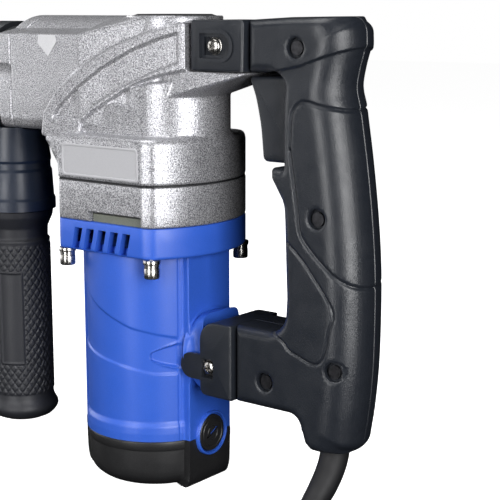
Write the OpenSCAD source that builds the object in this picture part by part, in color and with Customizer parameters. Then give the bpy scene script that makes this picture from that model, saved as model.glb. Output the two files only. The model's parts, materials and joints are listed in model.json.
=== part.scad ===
// Electric demolition hammer with a vertical motor, a rear D-handle and a side handle on the neck.
// Origin: centre of the motor end cap's bottom face. +Z runs up the motor axis, +X points to
// the D-handle, and the chisel axis points along -X.

/* [Motor] */
// Radius of the round motor housing
motor_r = 45.5; // [44.5:0.5:46]
// Distance of the flat spine face from the motor axis
spine_x = 46; // [45.5:0.25:46.5]
// Half width of the spine face
spine_w = 20.5; // [19.5:0.5:21]
// Height of the seam between end cap and motor housing
cap_z = 32; // [31:0.5:33]
// Underside of the wide collar
collar_z = 151.5; // [151:0.5:152]
// Seam between collar and gearbox base
base_z = 170.7; // [170.2:0.1:171]
// Seam between gearbox base and gearbox housing
tray_z = 196.4; // [196.2:0.1:196.8]

/* [Gearbox] */
// Half width of the gearbox across its flat sides
box_w = 48; // [47:0.5:49]
// Top of the wide tray of the gearbox housing
ledge_z = 224; // [223:0.5:225]
// Height of the chisel axis
barrel_z = 256; // [255.5:0.25:256.5]
// Top face of the gearbox housing
top_z = 297; // [296.5:0.5:297.5]
// Distance between motor axis and crank axis
crank_x = 19; // [19:1:19]
// Crank throw, half the piston stroke
throw = 11; // [10:0.5:11]
// Length of the connecting rod
rod_len = 52; // [51:0.5:53]

/* [Gears] */
// Teeth of the motor pinion
pinion_teeth = 9; // [9:1:9]
// Teeth of the crank gear
gear_teeth = 41; // [41:1:41]

/* [Handles] */
// Half thickness of the D-handle
grip_w = 22; // [21:0.5:23]
// Distance of the side handle's axis in front of the motor axis
aux_x = -131; // [-132:0.5:-130]
// Radius of the side handle's grip
aux_r = 22; // [20:0.5:22.5]

/* [Cord] */
// Diameter of the mains cord
cord_d = 9; // [8:0.5:9]

/* [Hidden] */

// Smoothness of large and small round parts
fine = 64;
small = 32;
hull_fn = 32;
// Gap that keeps separate pieces from touching, and the running fit of turning parts
gap = 0.1;
run = 0.05;

// Collar and gearbox plan: a wide arc at the rear, flat sides and a flat front
arc_r = 73.1;
arc_x = 55 - arc_r;
front_x = -44;
// Collar screws, one in each corner
screw_x = 36.3;
screw_y = 43.3;
// Wall thickness of plastic and of cast parts
wall = 4;
cast = 4.5;
// Height of the two brush holders
brush_z = 33;
brush_boss_r = 14.5;
// Spacing of the leaning cooling slots in the collar
vent_step = 10.25;

// Barrel and nose stations along the chisel axis
flange_x = -87.6;
flange_t = 12.4;
ring_x = -113;
neck_end = -150;
neck_r = 29;
band_x0 = -140;
band_x1 = -122;
bore_r = 19;
tube_r = 24;
tube_x0 = -118;
tube_x1 = -14;
holder_r = 16;
chisel_r = 9;
nose_x = -196;

// Crank drive
module_mm = 2 * crank_x / (pinion_teeth + gear_teeth);
pin_x = crank_x - throw;
wrist_x = pin_x - rod_len;
rod_t = 10;
gear_z = 184.5;
gear_t = 9;

// D-handle
seam_up = 92;
seam_low = 82;
bracket_x = 52.3;
bracket_w = 24;
lug_screw_x = 63.5;
pivot_x = 119;
pivot_z = 258;
trigger_w = 14;
rest_z = 210.8;

pipe_n = 10;

// ---------- helpers ----------
function arc(cx, cy, r, a0, a1, n) = [for (i = [0:n]) let (a = a0 + (a1 - a0) * i / n)
  [cx + r * cos(a), cy + r * sin(a)]];

module along_x(x0, x1, z = barrel_z) {
  translate([x0, 0, z]) rotate([90, 0, 90]) linear_extrude(x1 - x0) children();
}

module x_rod(x0, x1, r, fn = fine) {
  along_x(x0, x1) circle(r = r, $fn = fn);
}

module corner_screws() {
  for (sx = [-1, 1], sy = [-1, 1]) translate([sx * screw_x, sy * screw_y, 0]) children();
}

// Plan outline of the motor with its two flat brush spines
module motor_plan(d = 0) {
  circle(r = motor_r - d, $fn = 96);
  bevel = 4;
  x = spine_x - d;
  w = spine_w - d;
  polygon([[x, -w + bevel / 2], [x, w - bevel / 2], [x - bevel, w + 1], [-x + bevel, w + 1],
    [-x, w - bevel / 2], [-x, -w + bevel / 2], [-x + bevel, -w - 1], [x - bevel, -w - 1]]);
}

// Plan outline of collar and gearbox
module box_plan(d = 0) {
  w = box_w - d;
  c = 6;
  intersection() {
    translate([arc_x, 0]) circle(r = arc_r - d, $fn = 160);
    polygon([[front_x + d, -w + c], [front_x + d + c, -w], [34, -w], [36 + c - d, -w + 4],
      [60, -w + 12], [60, w - 12], [36 + c - d, w - 4], [34, w], [front_x + d + c, w],
      [front_x + d, w - c]]);
  }
}

// ---------- motor ----------
module end_cap() {
  color([0.10, 0.10, 0.11]) difference() {
    union() {
      translate([0, 0, 7]) linear_extrude(cap_z - 7) motor_plan(0.4);
      translate([0, 0, 3]) linear_extrude(4) motor_plan(2.5);
      linear_extrude(3) motor_plan(5.5);
    }
    translate([0, 0, 6]) cylinder(r = motor_r - wall, h = cap_z, $fn = fine);
    for (s = [-1, 1]) translate([s * 50, 0, brush_z]) rotate([0, -s * 90, 0])
      cylinder(r = brush_boss_r + 0.3, h = 22, $fn = fine);
    translate([0, 0, 4]) cylinder(r = 11.1, h = 3, $fn = fine);
  }
}

module motor_housing() {
  color([0.25, 0.42, 0.86]) difference() {
    union() {
      translate([0, 0, cap_z]) linear_extrude(collar_z - cap_z) motor_plan();
      translate([0, 0, cap_z]) linear_extrude(9) motor_plan(-1);
      translate([0, 0, collar_z]) linear_extrude(base_z - collar_z) box_plan();
      for (s = [-1, 1]) translate([s * 48, 0, brush_z]) rotate([0, -s * 90, 0])
        cylinder(r = brush_boss_r, h = 8, $fn = fine);
      translate([40, -18, 66]) cube([15, 36, 50]);
      translate([50, -13.8, 74.2]) cube([22, 27.6, 31.6]);
    }
    translate([0, 0, cap_z - 1]) cylinder(r = motor_r - wall, h = 130, $fn = fine);
    difference() {
      translate([0, 0, collar_z + wall]) linear_extrude(20) box_plan(3.5);
      corner_screws() translate([0, 0, collar_z]) cylinder(r = 6.5, h = 22, $fn = small);
    }
    corner_screws() translate([0, 0, collar_z - 1]) cylinder(r = 3.3, h = 22, $fn = small);
    translate([-60, 0, brush_z]) rotate([0, 90, 0]) cylinder(r = 11, h = 120, $fn = fine);
    translate([lug_screw_x, -20, 83.5]) rotate([-90, 0, 0]) cylinder(r = 2.55, h = 40, $fn = small);
    for (s = [-1, 1], i = [-2:2]) translate([vent_step * i - 2.2, s * box_w, 159.2])
      rotate([0, 14, 0]) cube([6.2, 16, 13.6], center = true);
  }
}

module brush_caps() {
  color([0.08, 0.08, 0.09]) for (s = [-1, 1]) translate([s * 48.5, 0, brush_z])
    rotate([0, -s * 90, 0]) difference() {
      union() {
        cylinder(r = 12, h = 0.5, $fn = fine);
        translate([0, 0, 0.5]) cylinder(r = 10.9, h = 5, $fn = fine);
      }
      translate([-9, -0.9, -0.5]) cube([18, 1.8, 1.7]);
    }
}

module brush_holders() {
  color([0.72, 0.56, 0.25]) for (s = [-1, 1]) translate([s * 42.9, 0, brush_z])
    rotate([0, -s * 90, 0]) difference() {
      cylinder(r = 10.8, h = 22.5, $fn = fine);
      translate([-6.1, -4.1, -1]) cube([12.2, 8.2, 30]);
    }
}

module carbon_brushes() {
  color([0.16, 0.16, 0.17]) for (s = [-1, 1]) translate([s * 23.7, 0, brush_z])
    cube([14, 8, 12], center = true);
}

module brush_springs() {
  color([0.75, 0.76, 0.78]) for (s = [-1, 1]) translate([s * 31.4, 0, brush_z])
    rotate([0, s * 90, 0]) coil_spring(3, 0.45, 10.4, 5);
}

module stator_core() {
  color([0.45, 0.46, 0.48]) translate([0, 0, 68]) linear_extrude(56) difference() {
    circle(r = motor_r - wall - gap, $fn = fine);
    circle(r = 26, $fn = fine);
    for (s = [-1, 1]) translate([0, s * 31.2]) square([43, 8.2], center = true);
  }
}

module field_windings() {
  color([0.68, 0.34, 0.16]) for (s = [-1, 1]) translate([0, s * 31.2, 96])
    difference() {
      cube([42, 7.6, 80], center = true);
      cube([30, 12, 60], center = true);
    }
}

module ball_bearing(ro, ri, h) {
  difference() {
    cylinder(r = ro, h = h, $fn = fine);
    translate([0, 0, -1]) cylinder(r = ri, h = h + 2, $fn = fine);
    for (z = [-0.01, h - 0.59]) translate([0, 0, z]) difference() {
      cylinder(r = ri + (ro - ri) * 0.72, h = 0.6, $fn = fine);
      translate([0, 0, -1]) cylinder(r = ri + (ro - ri) * 0.3, h = 3, $fn = fine);
    }
  }
}

module lower_bearing() {
  color([0.78, 0.79, 0.80]) translate([0, 0, 4]) ball_bearing(11, 4, 7);
}

module armature_bearing() {
  color([0.78, 0.79, 0.80]) translate([0, 0, 160.5]) ball_bearing(15.9, 6 + run, 10);
}

module fan_baffle() {
  color([0.42, 0.43, 0.36]) difference() {
    union() {
      translate([0, 0, 165]) linear_extrude(5.6) difference() {
        box_plan(3.8);
        circle(r = 36, $fn = fine);
      }
      for (s = [-1, 1]) translate([-11.5, s * 42.2 - 2.1, 170.5]) cube([43, 4.2, 5]);
    }
    corner_screws() translate([0, 0, 160]) cylinder(r = 6.8, h = 20, $fn = small);
  }
}

module armature_shaft() {
  color([0.70, 0.71, 0.73]) {
    translate([0, 0, 4.5]) cylinder(r = 4 - run, h = 7, $fn = small);
    translate([0, 0, 11.5]) cylinder(r = 6, h = 159, $fn = small);
    translate([0, 0, 170.5]) cylinder(r = 4.5, h = 13.5, $fn = small);
    translate([0, 0, 184]) linear_extrude(11) gear_2d(pinion_teeth, 0);
  }
}

module armature_core() {
  color([0.50, 0.51, 0.53]) translate([0, 0, 70]) linear_extrude(52) difference() {
    circle(r = 25.5, $fn = fine);
    circle(r = 6, $fn = small);
    for (i = [0:11]) rotate(i * 30) translate([24.5, 0]) square([4, 2.4], center = true);
  }
}

module armature_windings() {
  color([0.70, 0.36, 0.16]) for (z = [57, 122]) translate([0, 0, z]) difference() {
    cylinder(r = 22.5, h = 13, $fn = fine);
    translate([0, 0, -1]) cylinder(r = 6, h = 15, $fn = small);
  }
}

module commutator() {
  color([0.76, 0.45, 0.24]) translate([0, 0, 20]) linear_extrude(28) difference() {
    circle(r = 16.5, $fn = fine);
    circle(r = 6, $fn = small);
    for (i = [0:23]) rotate(i * 15) translate([16.4, 0]) square([1.6, 0.5], center = true);
  }
}

module cooling_fan() {
  color([0.86, 0.86, 0.83]) translate([0, 0, 138]) difference() {
    union() {
      cylinder(r = 34, h = 2.5, $fn = fine);
      cylinder(r = 10, h = 17, $fn = small);
      for (i = [0:10]) rotate(i * 360 / 11) translate([9, -1, 2]) cube([24, 2, 12]);
    }
    translate([0, 0, -1]) cylinder(r = 6, h = 20, $fn = small);
  }
}

// ---------- gearbox ----------
// Spur gear outline: involute flanks at a 25 degree pressure angle with short tips
function inv_pt(rb, t) = [rb * (cos(t) + t * PI / 180 * sin(t)), rb * (sin(t) - t * PI / 180 * cos(t))];
function inv_angle(rb, r) = let (t = sqrt(pow(r / rb, 2) - 1) * 180 / PI) t - atan(t * PI / 180);
function turn(p, a) = [p[0] * cos(a) - p[1] * sin(a), p[0] * sin(a) + p[1] * cos(a)];
function flank(rb, rt, n) = [for (i = [0:n]) let (r = rb + (rt - rb) * i / n,
  t = sqrt(pow(r / rb, 2) - 1) * 180 / PI) inv_pt(rb, t)];

module gear_2d(teeth, phase) {
  rp = teeth * module_mm / 2;
  rb = rp * cos(25);
  rt = rp + 0.7 * module_mm;
  rr = rp - 1.05 * module_mm;
  start = max(rb, rr);
  half = 90 / teeth * 0.84 + inv_angle(rb, rp);
  pts = [for (r = flank(rb, rt, 4)) if (norm(r) >= start - 0.001) r];
  polygon([for (k = [0:teeth - 1]) let (a = phase + k * 360 / teeth) each concat(
    [turn([rr, 0], a - half)],
    [for (p = pts) turn(p, a - half)],
    [for (i = [len(pts) - 1:-1:0]) turn([pts[i][0], -pts[i][1]], a + half)],
    [turn([rr, 0], a + half)])]);
}

module gearbox_base() {
  color([0.70, 0.71, 0.72]) difference() {
    union() {
      translate([0, 0, base_z]) linear_extrude(tray_z - 0.8 - base_z) box_plan();
      translate([0, 0, 158.5]) cylinder(r = 20, h = 13, $fn = fine);
    }
    difference() {
      translate([0, 0, 182.7]) linear_extrude(20) box_plan(cast);
      corner_screws() translate([0, 0, 180]) cylinder(r = 7, h = 20, $fn = small);
    }
    translate([0, 0, 157]) cylinder(r = 16, h = 13.6, $fn = fine);
    cylinder(r = 5.2, h = 200, $fn = small);
    translate([crank_x, 0, 174.7]) cylinder(r = 13, h = 9, $fn = fine);
    corner_screws() cylinder(r = 3.3, h = 220, $fn = small);
    for (s = [-1, 1]) translate([10, s * (box_w - 3.5), base_z + 2.5])
      cube([44, 9, 8], center = true);
  }
}

module gearbox_gasket() {
  color([0.06, 0.06, 0.06]) translate([0, 0, tray_z - 0.8]) linear_extrude(0.8) difference() {
    box_plan(0.5);
    difference() {
      box_plan(cast);
      corner_screws() circle(r = 7, $fn = small);
    }
    corner_screws() circle(r = 3.3, $fn = small);
  }
}

// Section of the barrel part of the housing, drawn round the chisel axis
module barrel_section() {
  crown_r = top_z - barrel_z;
  polygon(concat([[-36, -31], [36, -31], [38, -24], [41, -16], [41, 29.5], [25.4, 32.5]],
    arc(0, 0, crown_r, 52, 128, 16), [[-25.4, 32.5], [-41, 29.5], [-41, -16], [-38, -24]]));
}

module gearbox_housing() {
  color([0.72, 0.73, 0.74]) difference() {
    union() {
      translate([0, 0, tray_z]) linear_extrude(ledge_z - tray_z) box_plan();
      along_x(flange_x, -25) barrel_section();
      hull() {
        along_x(-26, -25) barrel_section();
        translate([crank_x, 0, 225]) cylinder(r = 29.9, h = top_z - 225, $fn = hull_fn);
      }
      translate([crank_x, 0, ledge_z - 1]) cylinder(r = 30, h = top_z + 0.5 - ledge_z, $fn = fine);
      translate([crank_x, 0, ledge_z - 1]) cylinder(r = 34.5, h = 36, $fn = fine);
      wings();
      hull() {
        translate([crank_x, 0, 252]) cylinder(r = 30, h = 12.8, $fn = hull_fn);
        translate([88, -21, 263]) cube([2, 42, 1.8]);
      }
      translate([40, -14, 262]) cube([46, 28, 28]);
    }
    // gear tray, bearing seat, crank chamber, bore and grease opening
    difference() {
      translate([0, 0, tray_z - 1]) linear_extrude(12.6) box_plan(cast);
      corner_screws() translate([0, 0, 190]) cylinder(r = 7, h = 30, $fn = small);
    }
    translate([crank_x, 0, 200]) cylinder(r = 13, h = 30, $fn = fine);
    translate([crank_x, 0, 211]) cylinder(r = 20, h = 20, $fn = fine);
    translate([crank_x, 0, 223.5]) cylinder(r = 25, h = 67.5, $fn = fine);
    translate([crank_x, 0, 290]) cylinder(r = 26.8, h = 10, $fn = fine);
    x_rod(flange_x - 1, tube_x1 + 0.1, tube_r);
    x_rod(tube_x1, pin_x + 2, 26);
    corner_screws() translate([0, 0, 190]) cylinder(r = 3.05, h = 18, $fn = small);
    for (s = [-1, 1]) translate([68.5, s * 15, 279.6]) rotate([s * 90, 0, 0])
      cylinder(r = 2.55, h = 13, $fn = small);
    flange_holes(2.55, flange_x - 1, 22);
  }
}

// Raised wing on each flank, slanting in towards the rear bracket
wing_tip = 103;
function wing_top(s) = 226 + 68 * pow(min(1, (s + 3) / (wing_tip + 3)), 0.5);
function wing_low(s) = 231 + 34.5 * pow(max(0, (s - 26)) / (wing_tip - 26), 0.7);
module wings() {
  n = 12;
  outline = concat(
    [for (i = [0:n]) let (s = -3 + (wing_tip + 3) * i / n) [s, wing_top(s)]],
    [for (i = [n:-1:0]) let (s = 26 + (wing_tip - 26) * i / n) [s, wing_low(s)]],
    [[26, ledge_z - 1], [-3, ledge_z - 1]]);
  for (m = [0, 1]) mirror([0, m, 0]) translate([-50, -47.5, 0]) rotate([0, 0, 11.36])
    rotate([90, 0, 0]) translate([0, 0, -9]) linear_extrude(9) polygon(outline);
}

module flange_holes(r, x, len) {
  for (sy = [-1, 1], sz = [-1, 1]) translate([x, sy * 33.5, barrel_z + 1 + sz * 23])
    rotate([0, 90, 0]) cylinder(r = r, h = len, $fn = small);
}

// Compression spring of round wire, standing on z = 0
module coil_spring(r, wire, h, turns) {
  steps = 14 * turns;
  sweep([for (i = [0:steps]) let (a = 360 * turns * i / steps) [r * cos(a), r * sin(a), h * i / steps]],
    [for (i = [0:steps]) wire], 6);
}

module socket_screw(head_r, head_h, shank_r, shank_l) {
  difference() {
    cylinder(r = head_r, h = head_h, $fn = small);
    translate([0, 0, -0.01]) cylinder(r = head_r * 0.52, h = head_h * 0.6, $fn = 6);
  }
  translate([0, 0, head_h]) cylinder(r = shank_r, h = shank_l, $fn = small);
}

module collar_screws() {
  color([0.62, 0.62, 0.60]) corner_screws() translate([0, 0, 140]) socket_screw(5, 6.5, 3, 60);
}

module screw_washers() {
  color([0.72, 0.72, 0.70]) corner_screws() {
    translate([0, 0, 146.5]) washer(4.8, 2.3);
    translate([0, 0, 148.8]) washer(5.4, 2.7);
  }
}

module washer(r, h, hole = 3.1) {
  difference() {
    cylinder(r = r, h = h, $fn = small);
    translate([0, 0, -1]) cylinder(r = hole, h = h + 2, $fn = small);
  }
}

module grease_cap() {
  color([0.05, 0.05, 0.06]) translate([crank_x, 0, 291.5]) difference() {
    union() {
      cylinder(r = 26.6, h = 5.5, $fn = fine);
      translate([0, 0, 5.5]) cylinder(r1 = 26, r2 = 23, h = 1, $fn = fine);
    }
    for (a = [0, 180]) rotate(a) translate([15, 0, 3]) cylinder(r = 2.5, h = 5, $fn = small);
  }
}

module grease_cap_seal() {
  color([0.05, 0.05, 0.05]) translate([crank_x, 0, 290.05]) difference() {
    cylinder(r = 26.6, h = 1.4, $fn = fine);
    translate([0, 0, -1]) cylinder(r = 25.1, h = 4, $fn = fine);
  }
}

module crank_gear() {
  color([0.55, 0.55, 0.57]) translate([crank_x, 0, gear_z]) linear_extrude(gear_t) difference() {
    gear_2d(gear_teeth, 180 + 180 / gear_teeth);
    circle(r = 8.5, $fn = fine);
  }
}

module crankshaft() {
  color([0.68, 0.69, 0.71]) {
    translate([crank_x, 0, 175]) cylinder(r = 5 - run, h = 8.5, $fn = fine);
    translate([crank_x, 0, 183.5]) cylinder(r = 8.5, h = 40, $fn = fine);
    translate([crank_x, 0, 223.5]) cylinder(r = 12, h = 3, $fn = fine);
    translate([crank_x, 0, 226.5]) difference() {
      cylinder(r = 21, h = 17.5, $fn = fine);
      translate([-30, 12, -1]) cube([22, 20, 20]);
      translate([-30, -32, -1]) cube([22, 20, 20]);
    }
    translate([pin_x, 0, 243]) cylinder(r = 6, h = 7.6, $fn = fine);
  }
}

module crank_bearing_lower() {
  color([0.78, 0.79, 0.80]) translate([crank_x, 0, 175]) ball_bearing(12.95, 5, 7.6);
}

module crank_bearing_upper() {
  color([0.78, 0.79, 0.80]) translate([crank_x, 0, 211.1]) ball_bearing(19.95, 8.5 + run, 12);
}

module connecting_rod() {
  color([0.60, 0.61, 0.63]) translate([0, 0, barrel_z - rod_t / 2]) difference() {
    union() {
      translate([pin_x, 0, 0]) cylinder(r = 9, h = rod_t, $fn = fine);
      translate([wrist_x, 0, 0]) cylinder(r = 7.5, h = rod_t, $fn = fine);
      translate([wrist_x + 5, -4, 0]) cube([rod_len - 10, 8, rod_t]);
    }
    translate([pin_x, 0, -1]) cylinder(r = 6 + run, h = 20, $fn = fine);
    translate([wrist_x, 0, -1]) cylinder(r = 4 + run, h = 20, $fn = fine);
  }
}

module piston() {
  color([0.80, 0.81, 0.82]) difference() {
    x_rod(wrist_x - 16, wrist_x + 13, bore_r - run);
    translate([wrist_x - 9, -11, barrel_z - rod_t / 2 - 0.3]) cube([30, 22, rod_t + 0.6]);
    translate([wrist_x, 0, barrel_z - 20]) cylinder(r = 4, h = 40, $fn = fine);
    along_x(wrist_x - 13.5, wrist_x - 11) difference() {
      circle(r = bore_r + 1, $fn = fine);
      circle(r = 16.5, $fn = fine);
    }
  }
}

module wrist_pin() {
  color([0.70, 0.71, 0.73]) translate([wrist_x, 0, barrel_z - 17])
    cylinder(r = 4, h = 34, $fn = fine);
}

module piston_ring() {
  color([0.06, 0.06, 0.06]) along_x(wrist_x - 13.4, wrist_x - 11.1) difference() {
    circle(r = bore_r - run, $fn = fine);
    circle(r = 16.6, $fn = fine);
  }
}

module cylinder_tube() {
  color([0.66, 0.67, 0.69]) along_x(tube_x0, tube_x1) difference() {
    circle(r = tube_r - 0.02, $fn = fine);
    circle(r = bore_r, $fn = fine);
  }
}

module striker() {
  color([0.62, 0.63, 0.66]) difference() {
    union() {
      x_rod(-98, -66, bore_r - run);
      x_rod(-101, -98, 11);
    }
    along_x(-74, -71.5) difference() {
      circle(r = bore_r + 1, $fn = fine);
      circle(r = 16.5, $fn = fine);
    }
  }
}

module striker_ring() {
  color([0.06, 0.06, 0.06]) along_x(-73.9, -71.6) difference() {
    circle(r = bore_r - run, $fn = fine);
    circle(r = 16.6, $fn = fine);
  }
}

module impact_bolt() {
  color([0.58, 0.58, 0.60]) {
    x_rod(-141, -119.5, 12 - run);
    x_rod(-119.5, -117, 10);
  }
}

// ---------- nose ----------
module front_housing() {
  color([0.70, 0.71, 0.72]) difference() {
    union() {
      along_x(flange_x - flange_t, flange_x) difference() {
        barrel_section();
        for (s = [-1, 1]) translate([s * 44, 2]) circle(r = 9, $fn = small);
      }
      x_rod(ring_x, flange_x - 2, 35);
      x_rod(neck_end, ring_x + 1, neck_r);
    }
    x_rod(tube_x0 - 0.1, flange_x + 1, tube_r);
    x_rod(-124, tube_x0 + 1, 20);
    x_rod(neck_end - 1, -123, 18);
    flange_holes(2.75, flange_x - flange_t - 1, 20);
    flange_holes(4.7, flange_x - flange_t - 1, 5);
  }
}

module front_screws() {
  color([0.62, 0.62, 0.60]) for (sy = [-1, 1], sz = [-1, 1])
    translate([flange_x - flange_t - 1.5, sy * 33.5, barrel_z + 1 + sz * 23]) rotate([0, 90, 0])
      socket_screw(4.4, 5.5, 2.5, 24);
}

module rubber_ring() {
  color([0.04, 0.04, 0.05]) along_x(-121.4, ring_x) difference() {
    circle(r = 34, $fn = fine);
    circle(r = neck_r, $fn = fine);
  }
}

module tool_holder() {
  color([0.30, 0.30, 0.32]) difference() {
    union() {
      x_rod(-150.5, -123.9, 17.98);
      x_rod(nose_x, -150, holder_r);
    }
    x_rod(-145, -123, 12);
    x_rod(nose_x - 1, -144, chisel_r);
  }
}

module locking_sleeve() {
  color([0.22, 0.22, 0.24]) difference() {
    union() {
      x_rod(-187, -158, 25);
      x_rod(-158, -156.5, 23.5);
    }
    x_rod(-190, -150, holder_r + run);
    x_rod(-181, -150, 21.5);
  }
}

module sleeve_spring() {
  color([0.75, 0.76, 0.78]) translate([-179.6, 0, barrel_z]) rotate([0, 90, 0])
    coil_spring(18.8, 1, 28, 6);
}

module dust_cap() {
  color([0.07, 0.07, 0.08]) difference() {
    union() {
      x_rod(-196, -188, 21);
      x_rod(-203, -196, 18);
    }
    x_rod(nose_x, -180, holder_r);
    x_rod(-210, -190, chisel_r + 1);
  }
}

// ---------- side handle ----------
module clamp_band() {
  color([0.20, 0.20, 0.22]) along_x(band_x0, band_x1) difference() {
    union() {
      circle(r = 37, $fn = fine);
      translate([-11, -46]) square([22, 12]);
    }
    circle(r = neck_r + 0.06, $fn = fine);
  }
}

module handle_base() {
  color([0.12, 0.13, 0.19]) difference() {
    translate([aux_x, 0, 0]) rotate_extrude($fn = 96) polygon([[5.05, 163], [27, 163],
      [27, 170], [26, 172], [25, 190], [24, 192], [24, 196], [24.6, 198], [21.5, 221], [5.05, 221]]);
    x_rod(-170, -90, 37.1);
    translate([band_x0 - 0.1, -11.1, 209.8]) cube([18.2, 22.2, 20]);
  }
}

module handle_stud() {
  color([0.70, 0.71, 0.73]) translate([aux_x, 0, 60]) cylinder(r = 5, h = 149.8, $fn = fine);
}

module side_grip() {
  color([0.13, 0.13, 0.15]) translate([aux_x, 0, 0]) difference() {
    rotate_extrude($fn = 96) polygon([[0, 11], [16, 11], [22, 14], [25, 19], [23.4, 23], [aux_r, 27],
      [aux_r, 140], [aux_r - 1.6, 143], [aux_r - 1.2, 150], [24.5, 158], [25, 162.6], [0, 162.6]]);
    translate([0, 0, 55]) cylinder(r = 5 + run, h = 120, $fn = fine);
  }
}

// ---------- D-handle ----------
// Side outline of the whole D-handle, open towards the motor
function handle_outline() = concat(
  [[seam_up, 265], [seam_up, 295], [120, 296.5], [148, 297]],
  arc(151.5, 288, 9, 90, 0, 5),
  [[160.5, 279], [157.5, 268], [155.7, 257], [157.3, 245], [162, 216], [166, 185], [168.5, 155],
   [169, 125], [168.3, 95], [166, 70], [163.5, 55]],
  arc(154, 54, 9.5, 0, -90, 5),
  [[138, 45.5], [133.5, 49], [131, 57]],
  arc(122, 56.5, 8.5, 0, 90, 4),
  [[seam_low, 65], [seam_low, 113], [105, 113]],
  arc(106, 126, 13, -80, 0, 5),
  [[119.5, 135], [118.5, 160], [117.5, 185], [116, 192], [108.5, 204], [108, rest_z],
   [117, rest_z], [117, 254]],
  arc(106, 254, 11, 0, 90, 4));

// Layer of the handle, its whole edge moved in by d and its rear edge by a further rear
module handle_slab(d, y0, y1, rear = 0) {
  translate([0, y1, 0]) rotate([90, 0, 0]) linear_extrude(y1 - y0) intersection() {
    offset(delta = -d) polygon(handle_outline());
    translate([-rear, 0]) offset(delta = -d) polygon(handle_outline());
  }
}

// Right half of the handle body: rounded by steps, most at the rear, cut at the middle plane.
// Screw bosses stand in its hollow; screw_hole is the depth of their holes.
module handle_half(screw_hole) {
  difference() {
    union() {
      handle_slab(0, 0, grip_w - 14);
      handle_slab(0, grip_w - 14.01, grip_w - 10, rear = 1.6);
      handle_slab(0, grip_w - 10.01, grip_w - 7, rear = 4);
      handle_slab(2, grip_w - 7.01, grip_w - 2.5, rear = 5);
      handle_slab(5, grip_w - 2.51, grip_w, rear = 9);
    }
    difference() {
      handle_slab(6.5, -1, grip_w - 6, rear = 3);
      at_handle_screws(-2) cylinder(r = 5, h = 25, $fn = small);
    }
    translate([100, -1, rest_z]) cube([29, trigger_w + 1.4, 267 - rest_z]);
    translate([pivot_x, -1, pivot_z]) rotate([-90, 0, 0]) cylinder(r = 2.02, h = 17.2, $fn = small);
    at_handle_screws(-1) cylinder(r = 2.1, h = screw_hole + 1, $fn = small);
    translate([143.4, 0, 40]) cylinder(r = 9.3, h = 22, $fn = fine);
  }
}

module at_handle_screws(y) {
  for (p = [[127, 279.5], [142.5, 184], [155, 96.5], [106, 82]]) translate([p[0], y, p[1]])
    rotate([-90, 0, 0]) children();
}

module handle_right() {
  color([0.14, 0.15, 0.16]) handle_half(13);
}

module handle_left() {
  color([0.14, 0.15, 0.16]) mirror([0, 1, 0]) difference() {
    handle_half(25);
    at_handle_screws(grip_w - 4) cylinder(r = 5.6, h = 6, $fn = small);
  }
}

module handle_screws() {
  color([0.55, 0.55, 0.56]) at_handle_screws(-grip_w + 4) {
    translate([0, 0, -2]) cylinder(r = 4, h = 2, $fn = small);
    cylinder(r = 2, h = 30, $fn = small);
  }
}

module switch_body() {
  color([0.10, 0.10, 0.11]) translate([129.5, -8.6, 208]) cube([14, 17.2, 44]);
}

// Trigger paddle: flat sides, hung from its pin near the top
module trigger() {
  outline = concat([[87.3, 262], [90.3, 256], [93.8, 246], [96.3, 232]],
    arc(101.3, 216.5, 3.5, 180, 270, 4),
    [[118, 213], [121, 216.5], [121.5, 250]], arc(pivot_x, pivot_z, 5.5, 0, 110, 5));
  color([0.11, 0.11, 0.12]) difference() {
    translate([0, trigger_w, 0]) rotate([90, 0, 0]) linear_extrude(2 * trigger_w) polygon(outline);
    translate([pivot_x, -20, pivot_z]) rotate([-90, 0, 0]) cylinder(r = 2 + run, h = 40, $fn = small);
  }
}

module trigger_pin() {
  color([0.70, 0.71, 0.73]) translate([pivot_x, -16, pivot_z]) rotate([-90, 0, 0])
    cylinder(r = 2, h = 32, $fn = small);
}

module upper_bracket() {
  color([0.12, 0.12, 0.14]) difference() {
    union() {
      translate([bracket_x, -22, 265]) cube([seam_up - bracket_x, 44, 29.5]);
      translate([bracket_x, -24, 267]) cube([seam_up - bracket_x - 0.6, 48, 25.5]);
    }
    translate([45, -14.1, 260]) cube([41.1, 28.2, 30.1]);
    translate([crank_x, 0, 250]) cylinder(r = 35.5, h = 60, $fn = fine);
    for (s = [-1, 1]) translate([59.5, s * 24 - 3.5, 272.5]) cube([15.5, 7, 14.5]);
    for (s = [-1, 1]) translate([75, s * 24, 279.7]) rotate([90, 0, 0])
      cylinder(r = 7.2, h = 7, center = true, $fn = fine);
    translate([68.5, -40, 279.6]) rotate([-90, 0, 0]) cylinder(r = 2.6, h = 80, $fn = small);
  }
}

module lower_bracket() {
  ear_t = 2.2;
  color([0.12, 0.12, 0.14]) difference() {
    union() {
      translate([55.3, -22, 66]) cube([seam_low - 55.3, 44, 47]);
      translate([57, -bracket_w, 69]) cube([seam_low - 57.6, 2 * bracket_w, 41]);
      for (s = [-1, 1]) translate([50, s * (bracket_w - ear_t / 2) - ear_t / 2, 75.5])
        cube([20, ear_t, 16]);
      for (s = [-1, 1]) translate([50, s * (bracket_w - ear_t / 2), 83.5]) rotate([90, 0, 0])
        cylinder(r = 8, h = ear_t, center = true, $fn = small);
    }
    for (s = [-1, 1]) translate([59, s * bracket_w - 4, 77.5]) cube([9, 8, 12]);
    translate([lug_screw_x, -40, 83.5]) rotate([-90, 0, 0]) cylinder(r = 2.6, h = 80, $fn = small);
    translate([50, -14, 74]) cube([22.5, 28, 32]);
  }
}

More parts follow.
